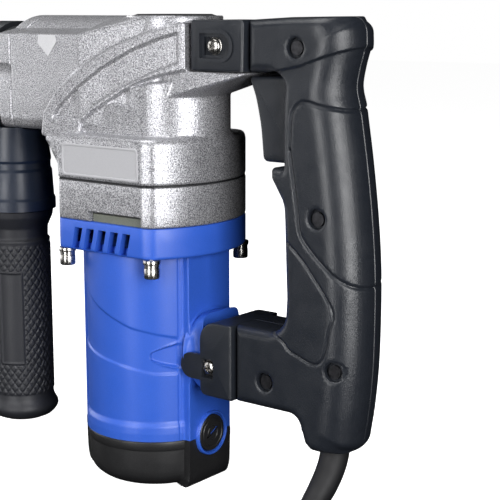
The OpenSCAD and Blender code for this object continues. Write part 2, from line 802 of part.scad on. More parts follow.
// Two side screws in the upper bracket, two in the lower one
module bracket_screws() {
  color([0.70, 0.70, 0.70]) for (s = [-1, 1], p = [[68.5, 279.6, 20.5], [lug_screw_x, 83.5, 20]])
    translate([p[0], s * p[2], p[1]]) rotate([s * 90, 0, 0]) {
      translate([0, 0, -2.4]) cylinder(r = 4.4, h = 2.4, $fn = small);
      cylinder(r = 2.5, h = 14, $fn = small);
    }
}

// ---------- cord ----------
// Swept tube with k_n sides along points p, with radius r[i] at each point
function unit(v) = v / norm(v);
function heading(p, i) = unit(p[min(i + 1, len(p) - 1)] - p[max(i - 1, 0)]);
function across(t) = unit(cross(t, abs(t[2]) > 0.9 ? [1, 0, 0] : [0, 0, 1]));
function frames(p, i = 0, a = undef) = i >= len(p) ? [] : let (t = heading(p, i),
  u = a == undef ? across(t) : unit(a - (a * t) * t)) concat([u], frames(p, i + 1, u));

module sweep(p, r, k_n = pipe_n) {
  n = len(p);
  f = frames(p);
  pts = [for (i = [0:n - 1]) let (t = heading(p, i), u = f[i], v = cross(t, u))
    for (k = [0:k_n - 1]) p[i] + r[i] * (cos(k * 360 / k_n) * u + sin(k * 360 / k_n) * v)];
  sides = [for (i = [0:n - 2], k = [0:k_n - 1]) let (m = (k + 1) % k_n)
    [i * k_n + k, (i + 1) * k_n + k, (i + 1) * k_n + m, i * k_n + m]];
  ends = [[for (k = [0:k_n - 1]) k], [for (k = [k_n - 1:-1:0]) (n - 1) * k_n + k]];
  polyhedron(points = pts, faces = concat(sides, ends), convexity = 6);
}

// The cord leaves the handle's lower end, bends to the floor and runs to the coil
relief_path = [[144.5, 0, 58], [143.5, 0, 50], [143, 0, 44], [142.8, -2, 36], [142.4, -6, 28.5],
  [141.8, -12, 21]];
floor_z = 4.6;
lead_c = [191, -30];
lead_r = 50;
cord_path = concat([[141.8, -12, 21], [141.4, -20, 14.5], [141, -30, 8.7]],
  [for (i = [1:6]) let (a = 180 + 15 * i)
    [lead_c[0] + lead_r * cos(a), lead_c[1] + lead_r * sin(a), i == 1 ? 5.4 : floor_z]],
  [for (x = [215, 240, 266]) [x, lead_c[1] - lead_r, floor_z]]);
// Coil of two layers of four rings; the cord's last stretch climbs onto it, and the plug lies there
coil_c = [266, -17];
coil_in = 36;
coil_out = 63;
tail_r = [63, 63, 62.8, 61.5, 59, 56, 53.5, 52, 52];
tail_z = [13.6, 14.5, 17, 20, 22, 22.7, 22.7, 22.7, 22.7];
tail_path = [for (i = [0:8]) let (a = 151 + 12 * i)
  [coil_c[0] + tail_r[i] * cos(a), coil_c[1] + tail_r[i] * sin(a), tail_z[i]]];
plug_turn = -22;

module strain_relief() {
  color([0.10, 0.10, 0.11]) sweep(relief_path, [7.4, 8.6, 8.8, 8.3, 7.7, 7]);
}

module cord_tube() {
  r = cord_d / 2;
  color([0.08, 0.08, 0.09]) {
    sweep(cord_path, [for (p = cord_path) r]);
    sweep(tail_path, [for (p = tail_path) r]);
  }
}

module cord_coil() {
  r = cord_d / 2;
  color([0.08, 0.08, 0.09]) translate([coil_c[0], coil_c[1], 0]) difference() {
    rotate_extrude($fn = 96) polygon(concat(arc(coil_out, r, r, -90, 0, 4),
      arc(coil_out, 3 * r, r, 0, 90, 4), arc(coil_in, 3 * r, r, 90, 180, 4),
      arc(coil_in, r, r, 180, 270, 4)));
    translate([-38, -coil_out - r - 1.5, -2]) cube([38.2, 2 * r + 3, 11.6]);
    translate([0, 0, 2 * r]) linear_extrude(11)
      polygon(concat(arc(0, 0, coil_out - r - 4, 149, 206, 8), arc(0, 0, coil_out + 17, 206, 149, 8)));
  }
}

module cord_tie() {
  depth = coil_out - coil_in + cord_d;
  color([0.05, 0.05, 0.05]) translate([coil_c[0] + (coil_in + coil_out) / 2, coil_c[1], 9.8])
    difference() {
      cube([depth + 4, 8, 19.6], center = true);
      translate([0, 0, -1]) cube([depth + 1, 12, 19.6], center = true);
    }
}

// The plug lies on the coil, in line with the cord's last stretch
module plug() {
  color([0.09, 0.09, 0.10]) translate([coil_c[0], coil_c[1], 18.1]) rotate(plug_turn)
    translate([0, -tail_r[8], 0]) difference() {
      union() {
        hull() {
          translate([0, -6, 0]) cube([5, 12, 11]);
          translate([23, -9, 0]) cube([8, 18, 17]);
        }
        for (s = [-1, 1]) translate([30, s * 6.35 - 0.75, 5.5]) cube([20, 1.5, 6.3]);
      }
      translate([-3, 0, 4.6]) rotate([0, 90, 0]) cylinder(r = 4.6, h = 6, $fn = small);
    }
}

end_cap();
motor_housing();
brush_caps();
brush_holders();
carbon_brushes();
brush_springs();
stator_core();
field_windings();
lower_bearing();
armature_bearing();
fan_baffle();
armature_shaft();
armature_core();
armature_windings();
commutator();
cooling_fan();
gearbox_base();
gearbox_gasket();
gearbox_housing();
collar_screws();
screw_washers();
grease_cap();
grease_cap_seal();
crank_gear();
crankshaft();
crank_bearing_lower();
crank_bearing_upper();
connecting_rod();
piston();
wrist_pin();
piston_ring();
cylinder_tube();
striker();
striker_ring();
impact_bolt();
front_housing();
front_screws();
rubber_ring();
tool_holder();
locking_sleeve();
sleeve_spring();
dust_cap();
clamp_band();
handle_base();
handle_stud();
side_grip();
upper_bracket();
lower_bracket();
bracket_screws();
handle_left();
handle_right();
handle_screws();
switch_body();
trigger();
trigger_pin();
strain_relief();
cord_tube();
cord_coil();
cord_tie();
plug();
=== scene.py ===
"""Looks of an electric demolition hammer: cord, cast housings, moulded handles and their materials.

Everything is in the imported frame: +Z up the motor axis, +X to the D-handle, the near side is -Y.
Shapes are worked out in millimetres and turned into metres where a mesh is made.
"""
import json
import math

import bmesh
import bpy
import numpy as np
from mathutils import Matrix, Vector
from mathutils.geometry import delaunay_2d_cdt


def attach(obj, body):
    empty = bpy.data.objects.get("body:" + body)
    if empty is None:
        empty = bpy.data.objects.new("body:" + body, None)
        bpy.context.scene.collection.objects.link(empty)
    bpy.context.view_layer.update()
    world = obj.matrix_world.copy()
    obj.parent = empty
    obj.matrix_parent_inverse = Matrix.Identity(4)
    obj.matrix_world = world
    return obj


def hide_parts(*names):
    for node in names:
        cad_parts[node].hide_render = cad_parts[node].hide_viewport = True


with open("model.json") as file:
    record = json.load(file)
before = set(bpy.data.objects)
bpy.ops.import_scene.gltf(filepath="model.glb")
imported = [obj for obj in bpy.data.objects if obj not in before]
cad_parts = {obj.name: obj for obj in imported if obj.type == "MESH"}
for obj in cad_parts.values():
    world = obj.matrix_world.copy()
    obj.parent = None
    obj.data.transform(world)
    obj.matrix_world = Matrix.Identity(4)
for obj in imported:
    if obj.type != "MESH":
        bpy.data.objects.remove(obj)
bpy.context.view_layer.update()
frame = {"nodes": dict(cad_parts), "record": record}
MM = 0.001
# The crank's upright axis, the chisel's axis and the brushes' axis, in millimetres
CRANK_X = 19
BARREL_Z = 256
BRUSH_Z = 33


def linked(name, data):
    piece = bpy.data.objects.new(name, data)
    bpy.context.scene.collection.objects.link(piece)
    return piece


def round_point(centre, radius, degrees, height):
    angle = math.radians(degrees)
    return centre[0] + radius * math.cos(angle), centre[1] + radius * math.sin(angle), height


# ---------- camera and light ----------
def make_camera():
    data = bpy.data.cameras.new("camera")
    data.lens = 92.74
    data.sensor_width = 36.0
    camera = linked("camera", data)
    camera.location = (0.5551, -0.6105, 0.301)
    camera.rotation_euler = (math.radians(79.4), 0.0, math.radians(38.0))
    bpy.context.scene.camera = camera


def area_light(name, place, target, size, power):
    data = bpy.data.lights.new(name, "AREA")
    data.shape = "RECTANGLE"
    data.size, data.size_y = size
    data.energy = power
    light = linked(name, data)
    light.location = place
    light.rotation_euler = (Vector(target) - Vector(place)).to_track_quat("-Z", "Y").to_euler()


def make_studio():
    """Two upright strips give the broad highlights; the rest is weak, so the far side falls off to dark."""
    axis = (0, 0)
    middle = (0.03, 0.0, 0.17)
    area_light("strip_left", round_point(axis, 1.1, -88, 0.32), middle, (0.30, 0.95), 8.5)
    area_light("strip_right", round_point(axis, 1.15, -26, 0.30), middle, (0.48, 0.95), 16)
    area_light("overhead", (-0.15, -0.25, 1.2), middle, (0.9, 0.6), 8)
    area_light("fill_left", round_point(axis, 1.3, -150, 0.35), middle, (0.8, 0.8), 4)
    area_light("fill_back", round_point(axis, 1.4, 172, 0.45), middle, (1.0, 1.0), 12)
    world = bpy.data.worlds.new("studio")
    world.use_nodes = True
    background = world.node_tree.nodes["Background"]
    background.inputs["Color"].default_value = (1, 1, 1, 1)
    background.inputs["Strength"].default_value = 1.0
    world.cycles_visibility.diffuse = False
    world.cycles_visibility.glossy = False
    bpy.context.scene.world = world
    bpy.context.scene.view_settings.view_transform = "Standard"
    bpy.context.scene.view_settings.look = "None"
    mesh = bpy.data.meshes.new("floor")
    half = 6.0
    corners = [(-half, -half, 0), (half, -half, 0), (half, half, 0), (-half, half, 0)]
    mesh.from_pydata(corners, [], [(0, 1, 2, 3)])
    floor = linked("floor", mesh)
    floor.visible_diffuse = False
    floor.visible_glossy = False
    paper = Shader("floor_paper", (0.93, 0.93, 0.93), 0.9,
                   Emission_Color=(1, 1, 1, 1), Emission_Strength=0.98)
    paper.mottle(60, (0.92, 0.92, 0.92), (0.94, 0.94, 0.94))
    mesh.materials.append(paper.material)


# ---------- materials ----------
class Shader:
    """A Principled material whose grain, mottling and bumps have their sizes in millimetres."""

    def __init__(self, name, color, roughness, metallic=0.0, **sockets):
        self.material = bpy.data.materials.new(name)
        self.material.use_nodes = True
        self.nodes = self.material.node_tree.nodes
        self.links = self.material.node_tree.links
        self.bsdf = self.nodes["Principled BSDF"]
        self.set("Base Color", (*color, 1))
        self.set("Roughness", roughness)
        self.set("Metallic", metallic)
        for socket, value in sockets.items():
            self.set(socket.replace("_", " "), value)
        self.coordinates = self.nodes.new("ShaderNodeTexCoord").outputs["Object"]
        self.normal = None

    def set(self, socket, value):
        self.bsdf.inputs[socket].default_value = value

    def noise(self, size, detail=2.0, stretch=(1, 1, 1)):
        mapping = self.nodes.new("ShaderNodeMapping")
        mapping.inputs["Scale"].default_value = stretch
        noise = self.nodes.new("ShaderNodeTexNoise")
        noise.inputs["Scale"].default_value = 1.0 / (size * MM)
        noise.inputs["Detail"].default_value = detail
        self.links.new(self.coordinates, mapping.inputs["Vector"])
        self.links.new(mapping.outputs["Vector"], noise.inputs["Vector"])
        return noise.outputs["Fac"]

    def mottle(self, size, dark, light, low=0.3, high=0.7, **options):
        """Colour that drifts between two tones over patches of one size."""
        tones = self.nodes.new("ShaderNodeValToRGB")
        for element, position, color in zip(tones.color_ramp.elements, (low, high), (dark, light)):
            element.position = position
            element.color = (*color, 1)
        self.links.new(self.noise(size, **options), tones.inputs["Fac"])
        self.links.new(tones.outputs["Color"], self.bsdf.inputs["Base Color"])

    def roughen(self, size, low, high, **options):
        span = self.nodes.new("ShaderNodeMapRange")
        for limit, value in (("From Min", 0.3), ("From Max", 0.7), ("To Min", low), ("To Max", high)):
            span.inputs[limit].default_value = value
        self.links.new(self.noise(size, **options), span.inputs["Value"])
        self.links.new(span.outputs["Result"], self.bsdf.inputs["Roughness"])

    def bump(self, size, depth, **options):
        bump = self.nodes.new("ShaderNodeBump")
        bump.inputs["Distance"].default_value = depth * MM
        self.links.new(self.noise(size, **options), bump.inputs["Height"])
        if self.normal:
            self.links.new(self.normal, bump.inputs["Normal"])
        self.normal = bump.outputs["Normal"]
        self.links.new(self.normal, self.bsdf.inputs["Normal"])


def plastic(name, dark, light, roughness, grain, depth):
    shader = Shader(name, light, roughness)
    shader.mottle(0.5, dark, light)
    shader.roughen(9, roughness - 0.04, roughness + 0.06, detail=3)
    shader.bump(grain, depth)
    return shader.material


def metal(name, dark, light, roughness, stretch=(1, 1, 1)):
    shader = Shader(name, light, roughness, 1.0)
    shader.mottle(3, dark, light, stretch=stretch)
    shader.roughen(0.6, roughness - 0.06, roughness + 0.08, stretch=stretch)
    shader.bump(0.6, 0.01, stretch=stretch)
    return shader.material


def hammertone():
    shader = Shader("cast_silver", (0.5, 0.5, 0.51), 0.42, 0.62, Specular_IOR_Level=0.6)
    shader.mottle(0.62, (0.14, 0.14, 0.155), (0.70, 0.70, 0.73), 0.38, 0.64, detail=3.0)
    shader.roughen(1.6, 0.34, 0.46)
    shader.bump(1.1, 0.14)
    return shader.material


# Dark tone, light tone, roughness, size of the grain and its depth
PLASTICS = {
    "blue_plastic": ((0.026, 0.098, 0.51), (0.034, 0.116, 0.58), 0.38, 0.45, 0.03),
    "black_plastic": ((0.010, 0.010, 0.011), (0.020, 0.020, 0.021), 0.45, 0.5, 0.05),
    "handle_plastic": ((0.009, 0.011, 0.015), (0.018, 0.021, 0.028), 0.36, 0.7, 0.10),
    "grip_rubber": ((0.014, 0.015, 0.019), (0.024, 0.025, 0.031), 0.50, 0.5, 0.04),
    "black_rubber": ((0.012, 0.013, 0.016), (0.022, 0.022, 0.024), 0.55, 0.4, 0.03),
    "cord_rubber": ((0.005, 0.005, 0.006), (0.008, 0.008, 0.010), 0.62, 0.6, 0.04),
    "baffle_plastic": ((0.13, 0.14, 0.11), (0.19, 0.20, 0.16), 0.5, 0.5, 0.03),
    "fan_plastic": ((0.62, 0.61, 0.55), (0.72, 0.71, 0.66), 0.45, 0.6, 0.02),
    "carbon": ((0.012, 0.012, 0.013), (0.03, 0.03, 0.032), 0.6, 0.4, 0.05),
    "clamp_metal": ((0.014, 0.015, 0.019), (0.026, 0.027, 0.032), 0.35, 0.8, 0.05),
    "base_plastic": ((0.009, 0.015, 0.031), (0.015, 0.024, 0.047), 0.36, 0.6, 0.05),
    # painted highlight: a light non-metallic grey for the bright diamond on the flank facets
    "highlight_grey": ((0.54, 0.54, 0.56), (0.62, 0.62, 0.64), 0.4, 0.8, 0.01),
    "panel_grey": ((0.40, 0.40, 0.42), (0.44, 0.44, 0.46), 0.5, 0.8, 0.01),
}
# Dark tone, light tone, roughness and, for drawn or stacked metal, the stretch of its grain
METALS = {
    "screw_steel": ((0.36, 0.35, 0.33), (0.62, 0.60, 0.57), 0.26),
    "steel": ((0.46, 0.47, 0.49), (0.60, 0.61, 0.63), 0.28, (1, 1, 6)),
    # painted shade: steel darkened for the screws that sit deep in the handle's wells
    "dark_steel": ((0.055, 0.055, 0.06), (0.10, 0.10, 0.11), 0.38),
    "lamination": ((0.22, 0.22, 0.24), (0.36, 0.36, 0.38), 0.42, (0.1, 0.1, 8)),
    "copper": ((0.45, 0.17, 0.08), (0.66, 0.30, 0.15), 0.32, (1, 1, 5)),
    "brass": ((0.55, 0.38, 0.13), (0.70, 0.50, 0.20), 0.30),
}


def make_materials():
    materials = {"cast_silver": hammertone()}
    materials.update({name: plastic(name, *look) for name, look in PLASTICS.items()})
    materials.update({name: metal(name, *look) for name, look in METALS.items()})
    return materials


def paint_cad_nodes():
    """The record's material on each CAD node, but a darker steel on the screws deep in the handle, as painted
    shade for their wells.
    """
    slots = {part["node"]: part["material_slot"] for part in frame["record"]["subparts"]}
    # painted shade: the handle screws get a darker steel because they sit deep in their wells
    darker = {"handle_screws": "dark_steel"}
    for node, piece in frame["nodes"].items():
        for material_slot in piece.material_slots:
            material_slot.material = MATERIALS[darker.get(node, slots[node])]


# ---------- mesh helpers ----------
def add(name, points, faces, slot, replaces=(), body="housing", angle=40, material=None):
    """A piece from points in millimetres, shaded smooth where its faces meet at less than the angle."""
    mesh = bpy.data.meshes.new(name)
    mesh.from_pydata([tuple(float(v) * MM for v in p) for p in points], [], [tuple(f) for f in faces])
    mesh.validate()
    finish_piece(linked(name, mesh), slot, replaces, body, angle, material)


def finish_piece(piece, slot, replaces=(), body="housing", angle=40, material=None):
    """Clean, shade and paint a mesh in metres, attach it to its body and hide the parts it replaces."""
    mesh = piece.data
    edit = bmesh.new()
    edit.from_mesh(mesh)
    bmesh.ops.remove_doubles(edit, verts=edit.verts, dist=1e-6)
    bmesh.ops.recalc_face_normals(edit, faces=edit.faces)
    edit.to_mesh(mesh)
    edit.free()
    mesh.shade_smooth()
    mesh.set_sharp_from_angle(angle=math.radians(angle))
    mesh.materials.clear()
    mesh.materials.append(MATERIALS[material or slot])
    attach(piece, body)
    if replaces:
        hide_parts(*replaces)


def scratch(points, faces):
    """A plain solid in millimetres, used only to build another piece."""
    mesh = bpy.data.meshes.new("scratch")
    mesh.from_pydata([tuple(float(v) for v in p) for p in points], [], [tuple(f) for f in faces])
    edit = bmesh.new()
    edit.from_mesh(mesh)
    bmesh.ops.recalc_face_normals(edit, faces=edit.faces)
    edit.to_mesh(mesh)
    edit.free()
    return linked("scratch", mesh)


def loft(rings):
    """Points and faces of a closed solid through rings with equal numbers of points."""
    n, last = len(rings[0]), len(rings) - 1
    faces = [(i * n + k, i * n + (k + 1) % n, (i + 1) * n + (k + 1) % n, (i + 1) * n + k)
             for i in range(last) for k in range(n)]
    faces += [tuple(range(n - 1, -1, -1)), tuple(last * n + k for k in range(n))]
    return [p for ring in rings for p in ring], faces


def extrude(outline, place, start, end):
    """A prism: place(u, v, w) puts outline point (u, v) at depth w."""
    return loft([[place(u, v, w) for u, v in outline] for w in (start, end)])


def lathe(profile, centre, axis="z", n=48):
    """Solid of revolution: profile lists (radius, place along the axis)."""
    def point(radius, place, angle):
        c, s = radius * math.cos(angle), radius * math.sin(angle)
        return {"x": (place, centre[1] + c, centre[2] + s), "y": (centre[0] + c, place, centre[2] + s),
                "z": (centre[0] + c, centre[1] + s, place)}[axis]
    return loft([[point(radius, place, 2 * math.pi * k / n) for k in range(n)] for radius, place in profile])


def cylinder(centre, axis, radius, start, end, n=64):
    """A cylinder about X, Y or Z through centre, from start to end along that axis."""
    return lathe([(radius, start), (radius, end)], centre, axis, n)


def upright_cylinder(x, radius, start, end):
    return cylinder((x, 0, 0), "z", radius, start, end, 96)


def box(low, high):
    return loft([[(low[0], low[1], z), (high[0], low[1], z), (high[0], high[1], z), (low[0], high[1], z)]
                 for z in (low[2], high[2])])


def mirrored(solid):
    points, faces = solid
    return [(x, -y, z) for x, y, z in points], faces


def applied(piece, *modifiers):
    """The piece with modifiers applied: each is a type and its settings."""
    for kind, settings in modifiers:
        modifier = piece.modifiers.new(kind.lower(), kind)
        for key, value in settings.items():
            setattr(modifier, key, value)
    evaluated = piece.evaluated_get(bpy.context.evaluated_depsgraph_get())
    mesh = bpy.data.meshes.new_from_object(evaluated)
    piece.modifiers.clear()
    piece.data = mesh
    return piece


def discard(piece):
    bpy.data.objects.remove(piece, do_unlink=True)


def taken(piece):
    """Points and faces of a scratch solid, which goes."""
    solid = [tuple(v.co) for v in piece.data.vertices], [tuple(p.vertices) for p in piece.data.polygons]
    discard(piece)
    return solid


def combine(piece, solids, operation):
    """The piece with each solid cut away or joined on, by an exact boolean."""
    for solid in solids:
        other = scratch(*solid)
        applied(piece, ("BOOLEAN", {"object": other, "operation": operation, "solver": "EXACT"}))
        discard(other)
    return piece


def merge(solids):
    """One mesh of several overlapping solids, as a remesh wants it."""
    points, faces = [], []
    for solid_points, solid_faces in solids:
        faces += [tuple(i + len(points) for i in face) for face in solid_faces]
        points += list(solid_points)
    return scratch(points, faces)


def cast(piece):
    """Rounds every inner and outer corner, as a sand casting has them."""
    return applied(piece, ("REMESH", {"mode": "VOXEL", "voxel_size": 0.8}),
                   ("SMOOTH", {"factor": 0.5, "iterations": 3}))


def keep(piece, name, slot, replaces=(), angle=40):
    """Makes a scratch solid a piece of the model."""
    piece.name = name
    piece.data.name = name
    for vertex in piece.data.vertices:
        vertex.co *= MM
    finish_piece(piece, slot, replaces, angle=angle)


# ---------- outlines ----------
def turn(n):
    """Even angles round a full turn."""
    return np.linspace(0, 2 * math.pi, n, endpoint=False)


def ring_about(x, radius, angles, z):
    """Points about the upright axis at x; the radius is one number, or one for each angle."""
    return [(x + r * math.cos(a), r * math.sin(a), z) for a, r in np.broadcast(angles, radius)]


def arc_points(x, z, radius, start, end, n):
    return [(x + radius * math.cos(math.radians(a)), z + radius * math.sin(math.radians(a)))
            for a in np.linspace(start, end, n)]


def rounded_rectangle(x0, x1, z0, z1, radius, n=6):
    corners = ((x1 - radius, z1 - radius, 0), (x0 + radius, z1 - radius, 90),
               (x0 + radius, z0 + radius, 180), (x1 - radius, z0 + radius, 270))
    return [p for x, z, start in corners for p in arc_points(x, z, radius, start, start + 90, n)]


def star(radius, depth, lobes, n=60):
    """Outline of a lobed drive recess."""
    reach = [radius - depth * (0.5 + 0.5 * math.cos(lobes * a)) for a in turn(n)]
    return [(r * math.cos(a), r * math.sin(a)) for r, a in zip(reach, turn(n))]


def upright(x, z, y):
    """Places an outline drawn in (x, z) at a depth y."""
    return x, y, z


def left_normals(outline):
    """Unit vectors to the left of a closed outline's direction."""
    along = np.roll(outline, -1, axis=0) - np.roll(outline, 1, axis=0)
    left = np.stack([-along[:, 1], along[:, 0]], axis=1)
    return left / np.maximum(np.linalg.norm(left, axis=1), 1e-9)[:, None]


def ramp(value, start, end):
    """0 up to the start, 1 from the end on, smooth between them."""
    t = np.clip((value - start) / (end - start), 0, 1)
    return t * t * (3 - 2 * t)


def bump_along(distance, width):
    """1 on a line, falling smoothly to 0 at the width."""
    t = np.clip(np.abs(distance) / width, 0, 1)
    return 0.5 + 0.5 * np.cos(math.pi * t)


def rounding(distance, radius):
    """0 at an edge, 1 from the radius on, along a quarter circle."""
    t = np.clip(distance / radius, 0, 1)
    return np.sqrt(np.maximum(1 - (1 - t) ** 2, 0))


def soft_min(values, softness):
    values = np.array(values)
    low = values.min(axis=0)
    return low - softness * np.log(np.exp(-(values - low) / softness).sum(axis=0))


def plan_radius(angles, planes, inset, arc=None, softness=0.7):
    """Distance from the origin to a convex plan: half planes (nx, ny, offset) and one arc (x, radius)."""
    cos, sin = np.cos(angles), np.sin(angles)
    reach = []
    for nx, ny, offset in planes:
        along = nx * cos + ny * sin
        reach.append(np.where(along > 0.02, (offset - inset) / np.maximum(along, 0.02), 1e3))
    if arc:
        x, radius = arc
        reach.append(x * cos + np.sqrt((radius - inset) ** 2 - (x * sin) ** 2))
    return soft_min(reach, softness)


def both_sides(planes):
    return [p for nx, ny, offset in planes for p in ((nx, ny, offset), (nx, -ny, offset))]


BOX_PLANES = [(-1, 0, 44)] + both_sides([(0, 1, 48), (-0.707, 0.707, 60.8), (0.447, 0.894, 58.1),
                                         (0.406, 0.914, 57.3)])
BOX_ARC = (-18.1, 73.1)
MOTOR_PLANES = both_sides([(1, 0, 46), (-1, 0, 46)])


def box_ring(z, inset, lean=0.0):
    """Plan of collar and gearbox; lean moves the front face out with height."""
    angles = turn(240)
    planes = [(nx, ny, offset + (lean if nx < -0.5 else 0)) for nx, ny, offset in BOX_PLANES]
    return ring_about(0, plan_radius(angles, planes, inset, BOX_ARC, 0.4), angles, z)


def barrel_outline(grow=0.0):
    """Section of the barrel as (y, height above the chisel axis)."""
    half = 41
    crown = arc_points(0, 0, half, 52, 128, 21)
    side = [(37, -31.5), (39.4, -29.5), (40.6, -25), (half, -16), (half, 29.5)]
    points = side + [(25.4, 32.5)] + crown + [(-25.4, 32.5)] + [(-y, z) for y, z in reversed(side)]
    return [(y * (1 + grow / half), z * (1 + grow / half)) for y, z in points]


def barrel_rings(*profile):
    """The barrel's section at each (x, grow)."""
    return [[(x, y, BARREL_Z + z) for y, z in barrel_outline(grow)] for x, grow in profile]


# ---------- cord ----------
CORD_RADIUS = 4.5
FLOOR_LINE = 4.6
LEAD_CENTRE = (191, -30)
LEAD_RADIUS = 50
COIL_CENTRE = (266, -17)
COIL_OUT = 63
TAIL_RADII = (63, 63, 62.8, 61.5, 59, 56, 53.5, 52, 52)
TAIL_HEIGHTS = (13.6, 14.5, 17, 20, 22, 22.7, 22.7, 22.7, 22.7)
TAIL_START = 151
BOOT = [(144.5, 0, 58), (143.5, 0, 50), (143, 0, 44), (142.8, -2, 36), (142.4, -6, 28.5), (141.8, -12, 21),
        (141.4, -20, 14.5), (141.2, -26, 11.2)]


def lead_route():
    """From the boot's tip down to the floor and round to the coil's outer ring."""
    bend = [round_point(LEAD_CENTRE, LEAD_RADIUS, 180 + 15 * i, 5.4 if i == 1 else FLOOR_LINE)
            for i in range(1, 7)]
    run = [(x, LEAD_CENTRE[1] - LEAD_RADIUS, FLOOR_LINE) for x in (215, 240)]
    return [(141.8, -12, 21), (141.4, -20, 14.5), (141, -30, 8.7)] + bend + run


def coil_route():
    """Four rings wound inwards on the floor, then four wound outwards on top of them."""
    last_turn = 8 + (TAIL_START - 270) / 360
    pitch = 2 * CORD_RADIUS
    route = []
    for turns in np.linspace(0, last_turn, 200):
        radius = COIL_OUT - pitch * sum(ramp(turns, k - 0.13, k - 0.02) for k in (1, 2, 3))
        radius += pitch * sum(ramp(turns, k - 0.38, k - 0.24) for k in (5, 6, 7))
        height = FLOOR_LINE + pitch * ramp(turns, 3.74, 3.90)
        route.append(round_point(COIL_CENTRE, radius, 270 + 360 * turns, height))
    return route


def tail_route():
    return [round_point(COIL_CENTRE, radius, TAIL_START + 12 * i, height)
            for i, (radius, height) in enumerate(zip(TAIL_RADII, TAIL_HEIGHTS))]


def smooth_route(points, per=6):
    """Catmull-Rom points through the given ones."""
    p = [np.array(q, float) for q in points]
    p = [2 * p[0] - p[1]] + p + [2 * p[-1] - p[-2]]
    out = []
    for i in range(1, len(p) - 2):
        for k in range(per):
            t = k / per
            out.append(0.5 * (2 * p[i] + (p[i + 1] - p[i - 1]) * t
                              + (2 * p[i - 1] - 5 * p[i] + 4 * p[i + 1] - p[i + 2]) * t * t
                              + (3 * p[i] - p[i - 1] - 3 * p[i + 1] + p[i + 2]) * t ** 3))
    return out + [p[-2]]


def route_length(points):
    return float(sum(np.linalg.norm(np.subtract(b, a)) for a, b in zip(points, points[1:])))


def make_cord():
    route = smooth_route(lead_route(), 3) + coil_route()[:-1] + smooth_route(tail_route(), 2)
    curve = bpy.data.curves.new("mains_cord", "CURVE")
    curve.dimensions = "3D"
    spline = curve.splines.new("POLY")
    spline.points.add(len(route) - 1)
    for point, place in zip(spline.points, route):
        point.co = (*(float(v) * MM for v in place), 1)
    curve.bevel_depth = CORD_RADIUS * MM
    curve.bevel_resolution = 4
    curve.use_fill_caps = True
    piece = linked("mains_cord", curve)
    curve.materials.append(MATERIALS["cord_rubber"])
    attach(piece, "housing")
    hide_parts("cord_tube", "cord_coil")
    tuple(v * MM for v in route[0])
    route_length(route) * MM


def tube(path, radii, n=32):
    """Rings round a path, with no twist between them."""
    path = [Vector(tuple(p)) for p in path]
    side = Vector((0, 1, 0))
    rings = []
    for i, p in enumerate(path):
        along = (path[min(i + 1, len(path) - 1)] - path[max(i - 1, 0)]).normalized()
        side = (side - along * side.dot(along)).normalized()
        across = along.cross(side)
        angles = [2 * math.pi * k / n for k in range(n)]
        rings.append([p + float(radii[i]) * (math.cos(a) * side + math.sin(a) * across) for a in angles])
    return rings


def make_boot():
    path = smooth_route(BOOT, 8)
    ends = np.linspace(0, len(BOOT) - 1, len(path))
    radii = np.interp(ends, range(len(BOOT)), (7.4, 8.6, 8.8, 8.7, 8.5, 8.2, 7.4, 6.4))
    rings = tube(path, radii)
    tip = Vector(tuple(path[-1]))
    lip = [[tip + (p - tip) * f for p in rings[-1]] for f in (0.93, 0.72)]
    back = Vector(tuple(path[-1])) - Vector(tuple(path[-2]))
    lip[0] = [p + back.normalized() * 0.6 for p in lip[0]]
    add("strain_relief_boot", *loft(rings + lip), "cord_rubber", ["strain_relief"])


# ---------- gearbox casting ----------
WING_ORIGIN = (-50.0, -47.5)
WING_ANGLE = math.radians(11.36)
WING_OUTER = [(-2.7, 222), (-2.7, 225.5), (-0.8, 237), (11.2, 252.4), (28.1, 265.1), (50.3, 277.6),
              (71.8, 285.6), (89.2, 290.4), (102.4, 293.4)]
WING_LOWER = [(102.4, 265.2), (88.8, 262.8), (74.8, 259.2), (64.1, 255), (49.6, 246.7), (34.7, 237.6),
              (27.6, 231.7), (26.2, 222)]
PANEL = [(6, 234), (10, 240), (24, 252.7), (42.7, 265.4), (64.5, 276.6), (85.7, 284.4), (97.3, 287.2),
         (97.3, 269.6), (78.4, 262.9), (56.9, 253.4), (38.5, 243.3), (26.4, 233.6)]


def on_wing(s, z, depth):
    """Point at s along the slanting flank face, height z and depth behind the face."""
    c, n = math.cos(WING_ANGLE), math.sin(WING_ANGLE)
    return WING_ORIGIN[0] + s * c - depth * n, WING_ORIGIN[1] + s * n + depth * c, z


def smooth_outline(points, per=5):
    """Open Catmull-Rom run through 2-D points."""
    return [tuple(p[:2]) for p in smooth_route([(u, v, 0) for u, v in points], per)]


def wing():
    """The raised flank: a broad rib round a sunken panel."""
    upper = smooth_outline(WING_OUTER[2:])
    lower = smooth_outline(WING_LOWER[:-1])
    body = scratch(*extrude(WING_OUTER[:2] + upper + lower + [WING_LOWER[-1]], on_wing, 0, 13))
    return taken(combine(body, [extrude(PANEL, on_wing, -4, 2.2)], "DIFFERENCE"))


def bulge():
    """The crank case's wall below the wing, with an arched top."""
    arch = [(-40, 222), (40, 222)]
    arch += [(40 * math.cos(math.radians(a)), 240 + 17.5 * math.sin(math.radians(a)))
             for a in range(0, 181, 12)]
    facing = math.radians(-52)

    def place(u, z, w):
        c, s = math.cos(facing), math.sin(facing)
        return CRANK_X - u * s + w * c, u * c + w * s, z
    wall = scratch(*upright_cylinder(CRANK_X, 34.5, 223, 259))
    return taken(combine(wall, [extrude(arch, place, 0, 60)], "INTERSECT"))


def hull(points):
    edit = bmesh.new()
    for p in points:
        edit.verts.new(p)
    bmesh.ops.convex_hull(edit, input=edit.verts)
    loose = [v for v in edit.verts if not v.link_faces]
    bmesh.ops.delete(edit, geom=loose, context="VERTS")
    edit.verts.index_update()
    solid = [tuple(v.co) for v in edit.verts], [tuple(v.index for v in f.verts) for f in edit.faces]
    edit.free()
    return solid


